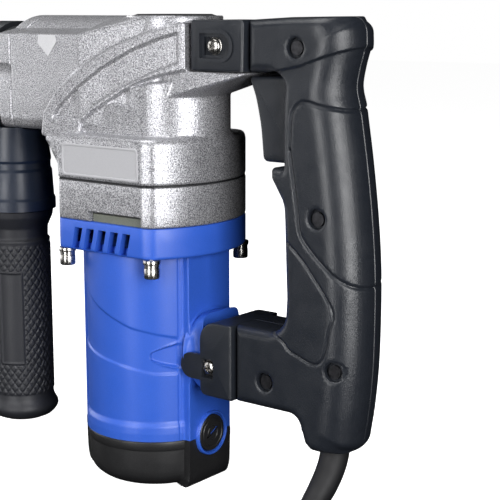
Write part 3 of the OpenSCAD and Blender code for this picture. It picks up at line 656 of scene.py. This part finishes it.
def tray_rings():
    """Lower tray of the gearbox housing: its front leans out, its top edge is rounded."""
    profile = ((196.6, 0.5), (197.0, 0.1), (198, 0), (205, 0), (213, 0), (219.5, 0), (221.6, 0.4),
               (223.2, 1.2), (224.3, 2.8), (224.6, 6))
    return [box_ring(z, inset, np.interp(z, (196, 207, 211, 218, 224), (0.2, 0.5, 3, 7, 8.3)))
            for z, inset in profile]


def ring_points(radius, z, degrees=180, n=49):
    """Points on a circle about the crank axis, to either side of +X."""
    return ring_about(CRANK_X, radius, np.linspace(-math.radians(degrees), math.radians(degrees), n), z)


def barrel_solids():
    """The hammer tube's housing and the casting that rises from it to the tower."""
    barrel = barrel_rings((-87.4, -0.8), (-86.6, 0), (-25, 0))
    rise = barrel[-1] + ring_points(29.6, 226) + ring_points(29.6, 296)
    return [loft(barrel), hull(rise)]


def make_gearbox():
    low_case = [(x, y, z) for x in (-40, -38) for y in (-40, 40) for z in (223, 248)]
    low_case += ring_points(34, 223) + ring_points(34, 240)
    gusset = ring_points(33.6, 249, 60) + ring_points(28, 264)
    gusset += [(x, y, z) for x in (87, 90) for y in (-21, 21) for z in (263.2, 264.6)]
    solids = barrel_solids() + [
        hull(low_case), hull(gusset), loft(tray_rings()), upright_cylinder(CRANK_X, 30, 223, 296.6),
        upright_cylinder(CRANK_X, 34.5, 223, 246), box((40, -14, 258), (51.5, 14, 289.5)),
        wing(), mirrored(wing()), bulge(), mirrored(bulge())]
    body = merge(solids)
    cast(body)
    combine(body, [upright_cylinder(CRANK_X, 26.9, 291.2, 310),
                   cylinder((0, 0, BARREL_Z), "x", 24.3, -100, -80)], "DIFFERENCE")
    keep(body, "gearbox_casting", "cast_silver", ["gearbox_housing"], angle=50)
    rim = [ring_about(CRANK_X, r, turn(96), z)
           for r, z in ((30, 293), (30.1, 296.2), (29.5, 297.0), (27.6, 297.0), (26.9, 296.5), (26.9, 291.4))]
    add("gearbox_rim", *loft(rim), "cast_silver")
    # a flat facet on each barrel flank, coloured light grey as a painted highlight
    facet_outline = ((-60, 285), (-45, 285), (-43.6, 281), (-51.5, 271.5), (-61, 280))
    for side, word in ((-1, "right"), (1, "left")):
        facet = [(x, side * y, z) for y in (40, 41.3) for x, z in facet_outline]
        add(f"highlight_facet_{word}", *hull(facet), "cast_silver", angle=20, material="highlight_grey")


def make_front_housing():
    """Flange with its four screw wells, drum and neck, bored for the hammer tube."""
    def along_x(y, z, r, x0, x1, n=64):
        return cylinder((0, y, z), "x", r, x0, x1, n)
    flange = barrel_rings((-100, -0.9), (-99.2, 0), (-88.7, 0), (-87.9, -0.9))
    body = merge([loft(flange), along_x(0, BARREL_Z, 34.6, -113, -95), along_x(0, BARREL_Z, 29, -150, -112)])
    combine(body, [along_x(side * 58, BARREL_Z + 2, 19, -110, -80) for side in (-1, 1)], "DIFFERENCE")
    cast(body)
    wells = [along_x(y, z, r, x0, x1, 24) for y in (-33.5, 33.5) for z in (234, 280)
             for r, x0, x1 in ((2.75, -104, -80), (4.7, -104, -95))]
    bore = [along_x(0, BARREL_Z, *span) for span in ((24, -118.1, -80), (20, -124, -117), (18, -155, -123))]
    combine(body, bore + wells, "DIFFERENCE")
    keep(body, "front_casting", "cast_silver", ["front_housing"], angle=50)


def make_gearbox_base():
    """Middle casting, with its two long windows down to the baffle."""
    rings = [box_ring(z, inset) for z, inset in ((170.9, 6), (170.9, 0.7), (171.4, 0.15), (172, 0), (180, 0),
                                                 (188, 0), (194.6, 0), (195.2, 0.2), (195.5, 0.8), (195.5, 6))]
    body = scratch(*loft(rings))
    windows = [box((-12, y - 9, 165), (32, y + 9, 177.6)) for y in (-49, 49)]
    combine(body, windows, "DIFFERENCE")
    keep(body, "gearbox_middle_casting", "cast_silver", ["gearbox_base"], angle=35)


def make_label_panel():
    """Plain raised plate on each flank of the tray, where a name plate would be."""
    for side, word in ((-1, "near"), (1, "far")):
        rings = []
        for y, inset in ((46, 0), (48.15, 0), (48.5, 0.35), (48.5, 1.2), (48.2, 1.7)):
            half_x, half_z = 32.5 - inset, 10.2 - inset
            outline = rounded_rectangle(-half_x, half_x, -half_z, half_z, 2.2, 7)
            rings.append([(-2 + u, side * y, 208.6 + v) for u, v in outline])
        add(f"label_panel_{word}", *loft(rings), "cast_silver", angle=15, material="panel_grey")


def make_collar():
    """Blue collar under the gearbox, cut through by its leaning cooling slots."""
    profile = ((151.5, 8), (151.5, 1.2), (151.9, 0.5), (152.8, 0.05), (153.6, 0), (162, 0), (169.6, 0),
               (170.3, 0.3), (170.6, 0.9), (170.6, 4.2))
    rings = [box_ring(z, inset) for z, inset in profile]
    inner = [box_ring(z, inset) for z, inset in ((170.6, 4.3), (156, 4.3))]
    body = scratch(*loft(rings + inner))
    slots = []
    for side in (-1, 1):
        for i in range(-2, 3):
            centre = 10.25 * i - 2.2
            slots.append(loft([[(centre + dx + 1.7 * t, side * y, 159.2 + 6.9 * t)
                                for dx, y in ((-3.3, 42), (3.3, 42), (3.3, 52), (-3.3, 52))] for t in (-1, 1)]))
    combine(body, slots, "DIFFERENCE")
    keep(body, "collar_shell", "blue_plastic", angle=35)


# ---------- motor ----------
def motor_skin(angle, z):
    """Radius of the moulded motor shell at an angle from +X and a height."""
    degrees = np.degrees(np.arctan2(np.sin(angle), np.cos(angle)))
    side = np.abs(degrees)
    taper = np.interp(z, (32, 37, 41.5, 44.5, 60, 145, 152), (46.3, 46.4, 46.1, 44.7, 44.8, 46.0, 46.0))
    spine = plan_radius(angle, MOTOR_PLANES, 0, softness=0.3)
    y = spine * np.abs(np.sin(angle))
    on_spine = 1 - ramp(y, 19.9, 22.3)
    radius = taper * (1 - on_spine) + np.maximum(taper, np.minimum(spine, 50.5)) * on_spine
    # ridges at the spine's edges and lines moulded into the round wall
    radius = radius + 0.7 * bump_along(side - 25.4, 1.3) + 0.6 * bump_along(180 - side - 25.4, 1.3)
    radius = radius - 0.35 * bump_along(side - 29.8, 1.2)
    wall = ramp(side, 30.2, 31.5) * (1 - ramp(side, 146, 149))
    upper = np.interp(side, (30, 49, 69, 87, 103, 125, 150), (99.0, 102.2, 105.9, 111.8, 117.3, 127, 141))
    lower = np.interp(side, (30, 50, 69, 88, 107, 125, 150), (76.0, 76.5, 79.7, 82.7, 85.2, 88, 91))
    radius = radius - 0.75 * wall * ramp(upper - z, -0.5, 0.9) * (1 - ramp(lower - z, -0.5, 0.9))
    # teardrop boss that leads into the lower bracket's ear
    reach = np.clip((54 - side) / 26, 0, 1)
    half = 8.6 * np.sqrt(reach) + 1e-6
    within = 1 - np.abs(z - 87.6) / half
    inside = ramp(within, 0, 0.22) * ramp(54 - side, 0, 3)
    lip = 0.5 * bump_along(within, 0.16) * ramp(side, 29, 33) * ramp(56 - side, 0, 4)
    radius = radius - 1.3 * inside * ramp(side, 27, 30) + lip
    # raised pad that the lower bracket's saddle grows out of
    from_saddle = np.hypot(y, z - 89)
    on_rear = (np.cos(angle) > 0) * 1.0
    pad = 1.1 * (1 - ramp(from_saddle, 24.5, 27)) + 0.5 * bump_along(from_saddle - 26.4, 1.2)
    return radius + on_rear * pad


def make_motor():
    angles = turn(720)
    heights = np.concatenate([np.linspace(*span) for span in ((32.2, 48, 24), (48.8, 70, 22), (70.6, 130, 100),
                                                              (131, 151.6, 18))])
    rings = [ring_about(0, 44.2, angles, 32.15)]
    rings += [ring_about(0, motor_skin(angles, z), angles, z) for z in heights]
    add("motor_shell", *loft(rings), "blue_plastic", ["motor_housing"], angle=50)


def make_saddle():
    """Blue pad that the lower bracket sits on, blending out of the rear of the motor."""
    profile = ((44, 25.5, 0), (46.2, 24.6, 0), (46.9, 22.8, 0.15), (47.9, 21.4, 0.35), (49.4, 20.3, 0.6),
               (51.5, 19.6, 0.8), (55.2, 19.2, 1), (55.2, 12, 1))
    rings = []
    for x, reach, square in profile:
        ring = []
        for a in turn(96):
            c, s = math.cos(a), math.sin(a)
            power = 2 + 5 * square
            size = reach / (abs(c) ** power + abs(s) ** power) ** (1 / power)
            ring.append((x, 0.95 * size * c, 90 + (1 + 0.3 * square) * size * s))
        rings.append(ring)
    add("bracket_saddle", *loft(rings), "blue_plastic", angle=50)


def make_brush_bosses():
    boss = [(14.5, 40), (14.5, 47.4), (14.2, 48.0), (13.7, 48.25), (13.1, 48.0), (12.4, 46.6), (12.2, 44),
            (12.2, 40)]
    cap = [(11.9, 42), (11.9, 47.0), (11.4, 47.5), (9.9, 47.5), (9.5, 47.1), (8.9, 47.1), (8.5, 47.5),
           (5.2, 47.5), (4.9, 47.2), (4.4, 47.2), (4.1, 47.5), (1, 47.5)]
    slot_turn = math.radians(28)
    c, s = math.cos(slot_turn), math.sin(slot_turn)
    corners = [(-6.2, -0.9), (6.2, -0.9), (6.2, 0.9), (-6.2, 0.9)]
    for side, word in ((1, "rear"), (-1, "front")):
        def turned(profile):
            return lathe([(r, side * x) for r, x in profile], (0, 0, BRUSH_Z), "x", 96)
        add(f"brush_boss_{word}", *turned(boss), "blue_plastic")
        body = scratch(*turned(cap))
        slot = loft([[(side * x, u * c - v * s, BRUSH_Z + u * s + v * c) for u, v in corners]
                     for x in (45.8, 50)])
        combine(body, [slot], "DIFFERENCE")
        keep(body, f"brush_cap_{word}", "black_plastic", ["brush_caps"] if side > 0 else (), angle=35)


def cap_ring(z, inset):
    angles = turn(360)
    spine = plan_radius(angles, MOTOR_PLANES, 0.35 * inset, softness=0.3)
    y = spine * np.abs(np.sin(angles))
    on_spine = 1 - ramp(y, 20.4, 22.3)
    round_wall = 45.6 - inset
    spine_wall = np.maximum(round_wall, np.minimum(spine, 50.6 - 0.4 * inset))
    return ring_about(0, round_wall * (1 - on_spine) + spine_wall * on_spine, angles, z)


def make_end_cap():
    profile = [(31.9, 6), (31.9, 0.7), (31.5, 0.25), (30.5, 0.1), (26.6, 0.1), (26.1, 0.35), (25.6, 0.6),
               (25.1, 0.6), (18, 0.9), (12, 1.3), (8.6, 1.7), (6.4, 2.6), (4.4, 4.2), (2.6, 6.3), (1.1, 8.6),
               (0.2, 10.6), (0, 12.5), (0, 20)]
    body = scratch(*loft([cap_ring(z, inset) for z, inset in profile]))
    seats = [cylinder((0, 0, BRUSH_Z), "x", 14.7, *span, n=96) for span in ((38, 60), (-60, -38))]
    combine(body, seats, "DIFFERENCE")
    keep(body, "motor_end_cap", "black_plastic", ["end_cap"], angle=40)


# ---------- D-handle ----------
GRIP_WIDTH = 22.0
REAR_ROUND = 20.0
EDGE_ROUND = 6.0
SCREW_WELL = 5.9
TRIGGER_WIDTH = 14.0
REST_HEIGHT = 210.8
SCREW_PLACES = ((127, 279.5), (142.5, 184), (155, 96.5), (106, 82))
REAR_EDGE = [(160.5, 288), (160.5, 279), (157.5, 268), (155.7, 257), (157.3, 245), (162, 216), (166, 185),
             (168.5, 155), (169, 125), (168.3, 95), (166, 70), (163.5, 54)]
GRIP_TOP = [(123.5, 222), (124.2, 238), (126, 244.5), (129.5, 248.5), (135, 249.7), (147, 247), (160, 244.4),
            (175, 243)]
GRIP_FRONT = [(123.5, 222), (126.5, 205), (129.5, 186), (131.3, 175), (137, 167), (149, 156.5), (161, 148),
              (170, 144.5), (185, 143)]
LOWER_PANEL = [(122, 168.5), (130, 162), (139, 152.5), (153.6, 133), (151.6, 119), (149, 106), (145, 100),
               (139, 99.4), (131, 102), (124, 104.5), (119.5, 109), (112, 113)]
BLOCK_CREASE = [(96, 263.6), (112, 266.4), (130, 270), (146, 275.4), (165, 281.5)]


def handle_edges():
    """Side outline of the D-handle in two runs: its rear edge from the top down, and all the rest."""
    rear = arc_points(151.5, 288, 9, 60, 0, 5)[:-1] + smooth_outline(REAR_EDGE, 6)
    rear += arc_points(154, 54, 9.5, 0, -60, 5)[1:]
    bottom = arc_points(154, 54, 9.5, -60, -90, 3) + [(138, 45.5), (133.5, 49), (131, 56.5)]
    bottom += arc_points(122, 56.5, 8.5, 0, 90, 7) + [(82.1, 65), (82.1, 113), (105, 113)]
    front = arc_points(106, 126, 13, -80, 0, 8)
    front += smooth_outline([(119.5, 135), (118.5, 160), (117.5, 185), (116, 192)], 6)
    front += [(108.6, 203.6), (108.1, 204.8), (108, 209.6), (108.9, REST_HEIGHT), (117, REST_HEIGHT),
              (117, 254)]
    front += arc_points(106, 254, 11, 0, 90, 8) + [(92.2, 265), (92.2, 295), (120, 296.5), (148, 297)]
    return rear, bottom + front + arc_points(151.5, 288, 9, 90, 60, 3)


def resample(points, spacing):
    points = np.array(points, float)
    lengths = np.concatenate([[0], np.cumsum(np.linalg.norm(np.diff(points, axis=0), axis=1))])
    count = max(2, int(lengths[-1] / spacing) + 1)
    places = np.linspace(0, lengths[-1], count)
    return np.stack([np.interp(places, lengths, points[:, k]) for k in (0, 1)], axis=1)


def distance_to(points, line):
    """Distance of each point from a polyline."""
    points, line = np.asarray(points, float), np.asarray(line, float)
    best = np.full(len(points), 1e9)
    for a, b in zip(line, line[1:]):
        ab = b - a
        t = np.clip(((points - a) @ ab) / max(ab @ ab, 1e-9), 0, 1)
        best = np.minimum(best, np.linalg.norm(points - a - t[:, None] * ab, axis=1))
    return best


def handle_relief(points):
    """How far the surface lies below its plain shape at each (x, z)."""
    x, z = points[:, 0], points[:, 1]
    crease = np.interp(x, *np.array(BLOCK_CREASE).T)
    grip_top = np.interp(x, *np.array(GRIP_TOP[3:]).T)
    depth = 1.3 * ramp(crease - z, -0.3, 1.0) * ramp(z - grip_top, 0, 14)
    for line, cut, width in ((GRIP_TOP, 1.0, 1.7), (GRIP_FRONT, 1.0, 1.7), (LOWER_PANEL, 0.8, 1.4)):
        depth = depth + cut * bump_along(distance_to(points, smooth_outline(line, 6)), width)
    for place in SCREW_PLACES:
        away = np.linalg.norm(points - place, axis=1)
        depth = depth + 0.5 * (1 - ramp(away, SCREW_WELL, SCREW_WELL + 1))
    return depth


def round_steps(radius, degrees):
    """How far in from an edge a quarter circle reaches at each angle."""
    return [radius * (1 - math.cos(math.radians(a))) for a in degrees]


def handle_shell():
    """Points and faces of the right half (+y), closed at the middle plane."""
    rear, rest = handle_edges()
    rear_line, rest_line = resample(rear, 1.6), resample(rest, 1.6)
    outline = np.concatenate([rear_line[:-1], rest_line[:-1]])
    inward = -left_normals(outline)
    steps = round_steps(REAR_ROUND, (5, 11, 18, 26, 34, 43, 52, 62, 73))
    steps += round_steps(EDGE_ROUND, (12, 24, 37, 51, 66))
    inner = [p for s in steps for p in outline + inward * s]
    for line in (GRIP_TOP, GRIP_FRONT, LOWER_PANEL, BLOCK_CREASE):
        route = resample(smooth_outline(line, 8), 1.2)
        normal = np.gradient(route, axis=0)[:, ::-1] * (1, -1)
        normal /= np.linalg.norm(normal, axis=1)[:, None]
        inner += [p for offset in (-1.7, -1.1, -0.5, 0, 0.5, 1.1, 1.7) for p in route + normal * offset]
    for place in SCREW_PLACES:
        inner += [(place[0] + r * math.cos(a), place[1] + r * math.sin(a))
                  for r in (SCREW_WELL, SCREW_WELL + 0.5, SCREW_WELL + 1) for a in turn(40)]
    grid = [(x + (1.2 if row % 2 else 0), z) for row, z in enumerate(np.arange(46, 297, 2.1))
            for x in np.arange(82, 168, 2.4)]
    inner = np.array([tuple(p) for p in inner] + grid)
    inner = inner[distance_to(inner, np.vstack([outline, outline[:1]])) > 0.05]
    n = len(outline)
    points2d = [Vector(p) for p in outline] + [Vector(p) for p in inner]
    verts, _, faces, _, _, _ = delaunay_2d_cdt(points2d, [], [list(range(n))], 1, 1e-4)
    flat = np.array([tuple(v) for v in verts])
    rim = [int(np.argmin(((flat - p) ** 2).sum(axis=1))) for p in outline]
    d_rear, d_rest = distance_to(flat, rear_line), distance_to(flat, rest_line)
    rear_part = rounding(d_rear, REAR_ROUND)
    y = GRIP_WIDTH * rear_part - 7 * (1 - rounding(d_rest, EDGE_ROUND)) * rear_part
    y = np.maximum(y, 1.0)
    return flat, y, faces, rim, inward


def handle_solid():
    flat, y, faces, rim, inward = handle_shell()
    n = len(rim)
    mesh = bpy.data.meshes.new("half")
    mesh.from_pydata([(x, h, z) for (x, z), h in zip(flat, y)], [], [tuple(f) for f in faces])
    edit = bmesh.new()
    edit.from_mesh(mesh)
    bmesh.ops.recalc_face_normals(edit, faces=edit.faces)
    edit.normal_update()
    edit.verts.ensure_lookup_table()
    normals = np.array([tuple(v.normal) for v in edit.verts])
    edit.free()
    bpy.data.meshes.remove(mesh)
    normals[normals[:, 1] < 0] *= -1
    outward = np.stack([-inward[:, 0], np.zeros(n), -inward[:, 1]], axis=1)
    normals[rim] = outward
    depth = handle_relief(flat)
    top = np.stack([flat[:, 0], y, flat[:, 1]], axis=1) - depth[:, None] * normals
    chamfer = 0.45
    low = [top[rim] * (1, 0, 1) + (0, chamfer, 0), top[rim] * (1, 0, 1) - outward * chamfer]
    points = [tuple(p) for p in top] + [tuple(p) for ring in low for p in ring]
    all_faces = [tuple(f) for f in faces]
    m = len(top)
    bands = [rim, list(range(m, m + n)), list(range(m + n, m + 2 * n))]
    for high, lower in zip(bands, bands[1:]):
        all_faces += [(high[k], high[(k + 1) % n], lower[(k + 1) % n], lower[k]) for k in range(n)]
    all_faces.append(tuple(bands[-1]))
    return points, all_faces


def make_handle():
    points, faces = handle_solid()
    for side, word in ((-1, "left"), (1, "right")):
        half = scratch([(x, side * y, z) for x, y, z in points], faces)
        near, far = sorted((-side, side * (TRIGGER_WIDTH + 0.4)))
        cuts = [box((100, near, REST_HEIGHT), (129, far, 267))]
        well = sorted((side * 17.9, side * 30))
        cuts += [cylinder((x, 0, z), "y", SCREW_WELL, *well, n=48) for x, z in SCREW_PLACES]
        combine(half, cuts, "DIFFERENCE")
        keep(half, f"handle_half_{word}", "handle_plastic", [f"handle_{word}"], angle=38)


def pillow(outline, half_width, profile):
    """A flat solid with rounded edges: profile lists (inset, distance from the half width)."""
    outline = np.asarray(outline, float)
    inward = left_normals(outline)
    places = [(inset, drop - half_width) for inset, drop in profile]
    places += [(inset, half_width - drop) for inset, drop in reversed(profile)]
    return loft([[upright(u, v, y) for u, v in outline + inward * inset] for inset, y in places])


def make_trigger():
    edge = [(88.4, 259.6), (89.9, 256.6), (92.4, 250), (94.6, 241), (96.3, 232), (97.8, 217)]
    outline = smooth_outline(edge, 5) + arc_points(101.3, 216.5, 3.5, 190, 270, 6)
    outline += [(118, 213), (121, 216.5), (121.5, 250)]
    outline += arc_points(116, 257.7, 5.5, 0, 100, 8) + [(104, 262.8)] + arc_points(90.7, 260, 2.5, 95, 175, 8)
    outline = [tuple(p) for p in resample(outline + outline[:1], 1.1)[:-1]]
    profile = [(2.2, 0), (1.4, 0.15), (0.7, 0.6), (0.25, 1.3), (0, 2.4)]
    add("trigger_paddle", *pillow(outline, TRIGGER_WIDTH - 0.1, profile), "black_plastic", ["trigger"],
        body="trigger", material="handle_plastic")


# ---------- brackets and screws ----------
def y_prism(outline, side, y0, y1):
    """An upright outline between two distances from the middle plane, on one side of it."""
    return extrude(outline, upright, *sorted((side * y0, side * y1)))


BRACKET_WIDTH = 24
EDGE_PROFILE = [(1.3, 0), (0.6, 0.18), (0.2, 0.55), (0, 1.2)]


def make_upper_bracket():
    outline = resample(rounded_rectangle(52, 92, 265, 294.7, 1.5), 1.5)[:-1]
    body = scratch(*pillow(outline, BRACKET_WIDTH, EDGE_PROFILE))
    bead = [(57.9, 288.6), (57.9, 270.9)] + arc_points(75, 279.7, 8.8, -90, 90, 17)
    combine(body, [pillow(bead[::-1], BRACKET_WIDTH + 0.7, [(0.7, 0), (0.25, 0.25), (0, 0.8)])], "UNION")
    cuts = [upright_cylinder(CRANK_X, 35.5, 250, 310), box((45, -14.1, 255), (86.1, 14.1, 290.1))]
    pocket = [(59.5, 287), (59.5, 272.5)] + arc_points(75, 279.7, 7.2, -90, 90, 13)
    inner = [(61.3, 285), (61.3, 274.3)] + arc_points(74.5, 279.7, 5.4, -90, 90, 13)
    for side in (-1, 1):
        cuts += [y_prism(pocket, side, 22.4, 30), y_prism(inner, side, 20.5, 30)]
    combine(body, cuts, "DIFFERENCE")
    keep(body, "upper_mount", "handle_plastic", ["upper_bracket"], angle=35)


def make_lower_bracket():
    outline = [(62, 66), (81.9, 66), (81.9, 113), (69, 113)] + arc_points(69, 101, 12, 90, 180, 10)
    outline += arc_points(62, 71, 5, 180, 270, 6)
    outline = resample(outline, 1.5)[:-1]
    body = scratch(*pillow(outline, BRACKET_WIDTH, EDGE_PROFILE))
    ear = arc_points(50, 83.5, 8, 90, 270, 17) + [(64, 75.5), (64, 91.5)]
    combine(body, [y_prism(ear, side, 21.8, BRACKET_WIDTH) for side in (-1, 1)], "UNION")
    pocket = [(59, 77.5), (68, 77.5)] + arc_points(66, 87.5, 2, 0, 90, 5) + [(59, 89.5)]
    cuts = [y_prism(pocket, side, 20, 30) for side in (-1, 1)]
    cuts.append(box((44, -14, 74), (72.5, 14, 106)))
    combine(body, cuts, "DIFFERENCE")
    keep(body, "lower_mount", "handle_plastic", ["lower_bracket"], angle=35)


def make_bracket_screws():
    """Pan-head screws with a flat and a spring washer, heads towards the sides."""
    profile = [(2.5, -13), (2.5, -0.1), (5.2, -0.1), (5.3, 0.1), (5.3, 0.8), (5.1, 0.95), (4.6, 0.95),
               (4.6, 1.9), (4.45, 2.0), (4.2, 2.0), (4.2, 3.1), (3.9, 3.75), (3.2, 4.3), (2.0, 4.7), (0.8, 4.8)]
    swell, sink = 1.12, 1.2
    for side, word in ((-1, "left"), (1, "right")):
        for x, z, seat, level in ((68.5, 279.6, 20.5, "upper"), (63.5, 83.5, 20.0, "lower")):
            solid = lathe([(swell * r, side * (seat + d - sink)) for r, d in profile], (x, 0, z), "y")
            body = scratch(*solid)
            lobes = [(x + u, z + v) for u, v in star(2.4, 0.8, 6)]
            combine(body, [y_prism(lobes, side, seat + 2.4, seat + 5)], "DIFFERENCE")
            name = f"{level}_{word}"
            keep(body, f"bracket_screw_{name}", "screw_steel",
                 ["bracket_screws"] if name == "upper_left" else (), angle=35)


def make_collar_screws():
    """Socket screws that hold the collar up to the gearbox, with spring and flat washers."""
    profile = [(0.5, 140.2), (4.2, 140.0), (4.7, 140.3), (4.9, 140.8), (4.9, 145.9), (4.7, 146.4), (3.0, 146.4),
               (3.0, 146.6), (4.75, 146.6), (4.8, 148.7), (3.1, 148.8), (3.1, 148.9), (5.3, 148.9),
               (5.4, 149.3), (5.4, 151.2), (5.2, 151.5), (2.0, 151.5), (2.0, 154)]
    for x, end in ((-36.3, "front"), (36.3, "rear")):
        for y, word in ((-43.3, "left"), (43.3, "right")):
            body = scratch(*lathe(profile, (x, y, 0), n=36))
            hexagon = [(x + 2.9 * math.cos(a), y + 2.9 * math.sin(a)) for a in turn(6)]
            socket = loft([[(*p, z) for p in hexagon] for z in (138, 143)])
            combine(body, [socket], "DIFFERENCE")
            name = f"{end}_{word}"
            keep(body, f"collar_screw_{name}", "screw_steel",
                 ["collar_screws", "screw_washers"] if name == "front_left" else (), angle=35)


# ---------- side handle ----------
GRIP_AXIS = -131.0
GRIP_RADIUS = 22.0
KNURL_PITCH = 5.4
PANEL_FACING = math.radians(-60)


def grip_radius(angle, z):
    """Side grip with a diamond knurl and a plain framed panel."""
    radius = np.interp(z, (27, 30, 138, 141, 143, 150, 158, 162.6),
                       (GRIP_RADIUS, 21.6, 21.6, GRIP_RADIUS, 20.5, 20.8, 24.3, 24.9))
    across = GRIP_RADIUS * angle
    u = ((across + z * 0.75) / KNURL_PITCH) % 1 - 0.5
    v = ((across - z * 0.75) / KNURL_PITCH) % 1 - 0.5
    diamond = np.minimum(ramp(0.5 - np.abs(u), 0.02, 0.2), ramp(0.5 - np.abs(v), 0.02, 0.2))
    turned = np.arctan2(np.sin(angle - PANEL_FACING), np.cos(angle - PANEL_FACING)) * GRIP_RADIUS
    edge = np.maximum(np.abs(turned) - 9.5, np.abs(z - 86.5) - 34)
    knurled = ramp(edge, 0, 0.6) * ramp(z, 30, 31.5) * (1 - ramp(z, 137, 138.5))
    frame_line = bump_along(edge + 1.2, 1.0)
    return radius + 0.75 * diamond * knurled + (1 - knurled) * 0.15 * ramp(z, 30, 31.5) + 0.7 * frame_line


def make_side_grip():
    angles = turn(288)
    foot = [(2, 11), (15.5, 11), (16.6, 11.2), (20.5, 12.9), (22.4, 14.6), (24.2, 17), (24.9, 19), (24.6, 21),
            (23.6, 22.9), (22.4, 25.2), (GRIP_RADIUS, 27)]
    rings = [ring_about(GRIP_AXIS, r, angles, z) for r, z in foot]
    rings += [ring_about(GRIP_AXIS, grip_radius(angles, z), angles, z)
              for z in np.concatenate([np.linspace(27.6, 141, 200), np.linspace(142, 162.2, 24)])]
    rings.append(ring_about(GRIP_AXIS, 6, angles, 162.4))
    add("side_grip_rubber", *loft(rings), "grip_rubber", ["side_grip"], body="side_grip", angle=60)


# ---------- main ----------
make_camera()
MATERIALS = make_materials()
make_cord()
make_studio()
paint_cad_nodes()
make_boot()
make_gearbox()
make_front_housing()
make_gearbox_base()
make_label_panel()
make_collar()
make_motor()
make_saddle()
make_brush_bosses()
make_end_cap()
make_handle()
make_trigger()
make_upper_bracket()
make_lower_bracket()
make_bracket_screws()
make_collar_screws()
make_side_grip()
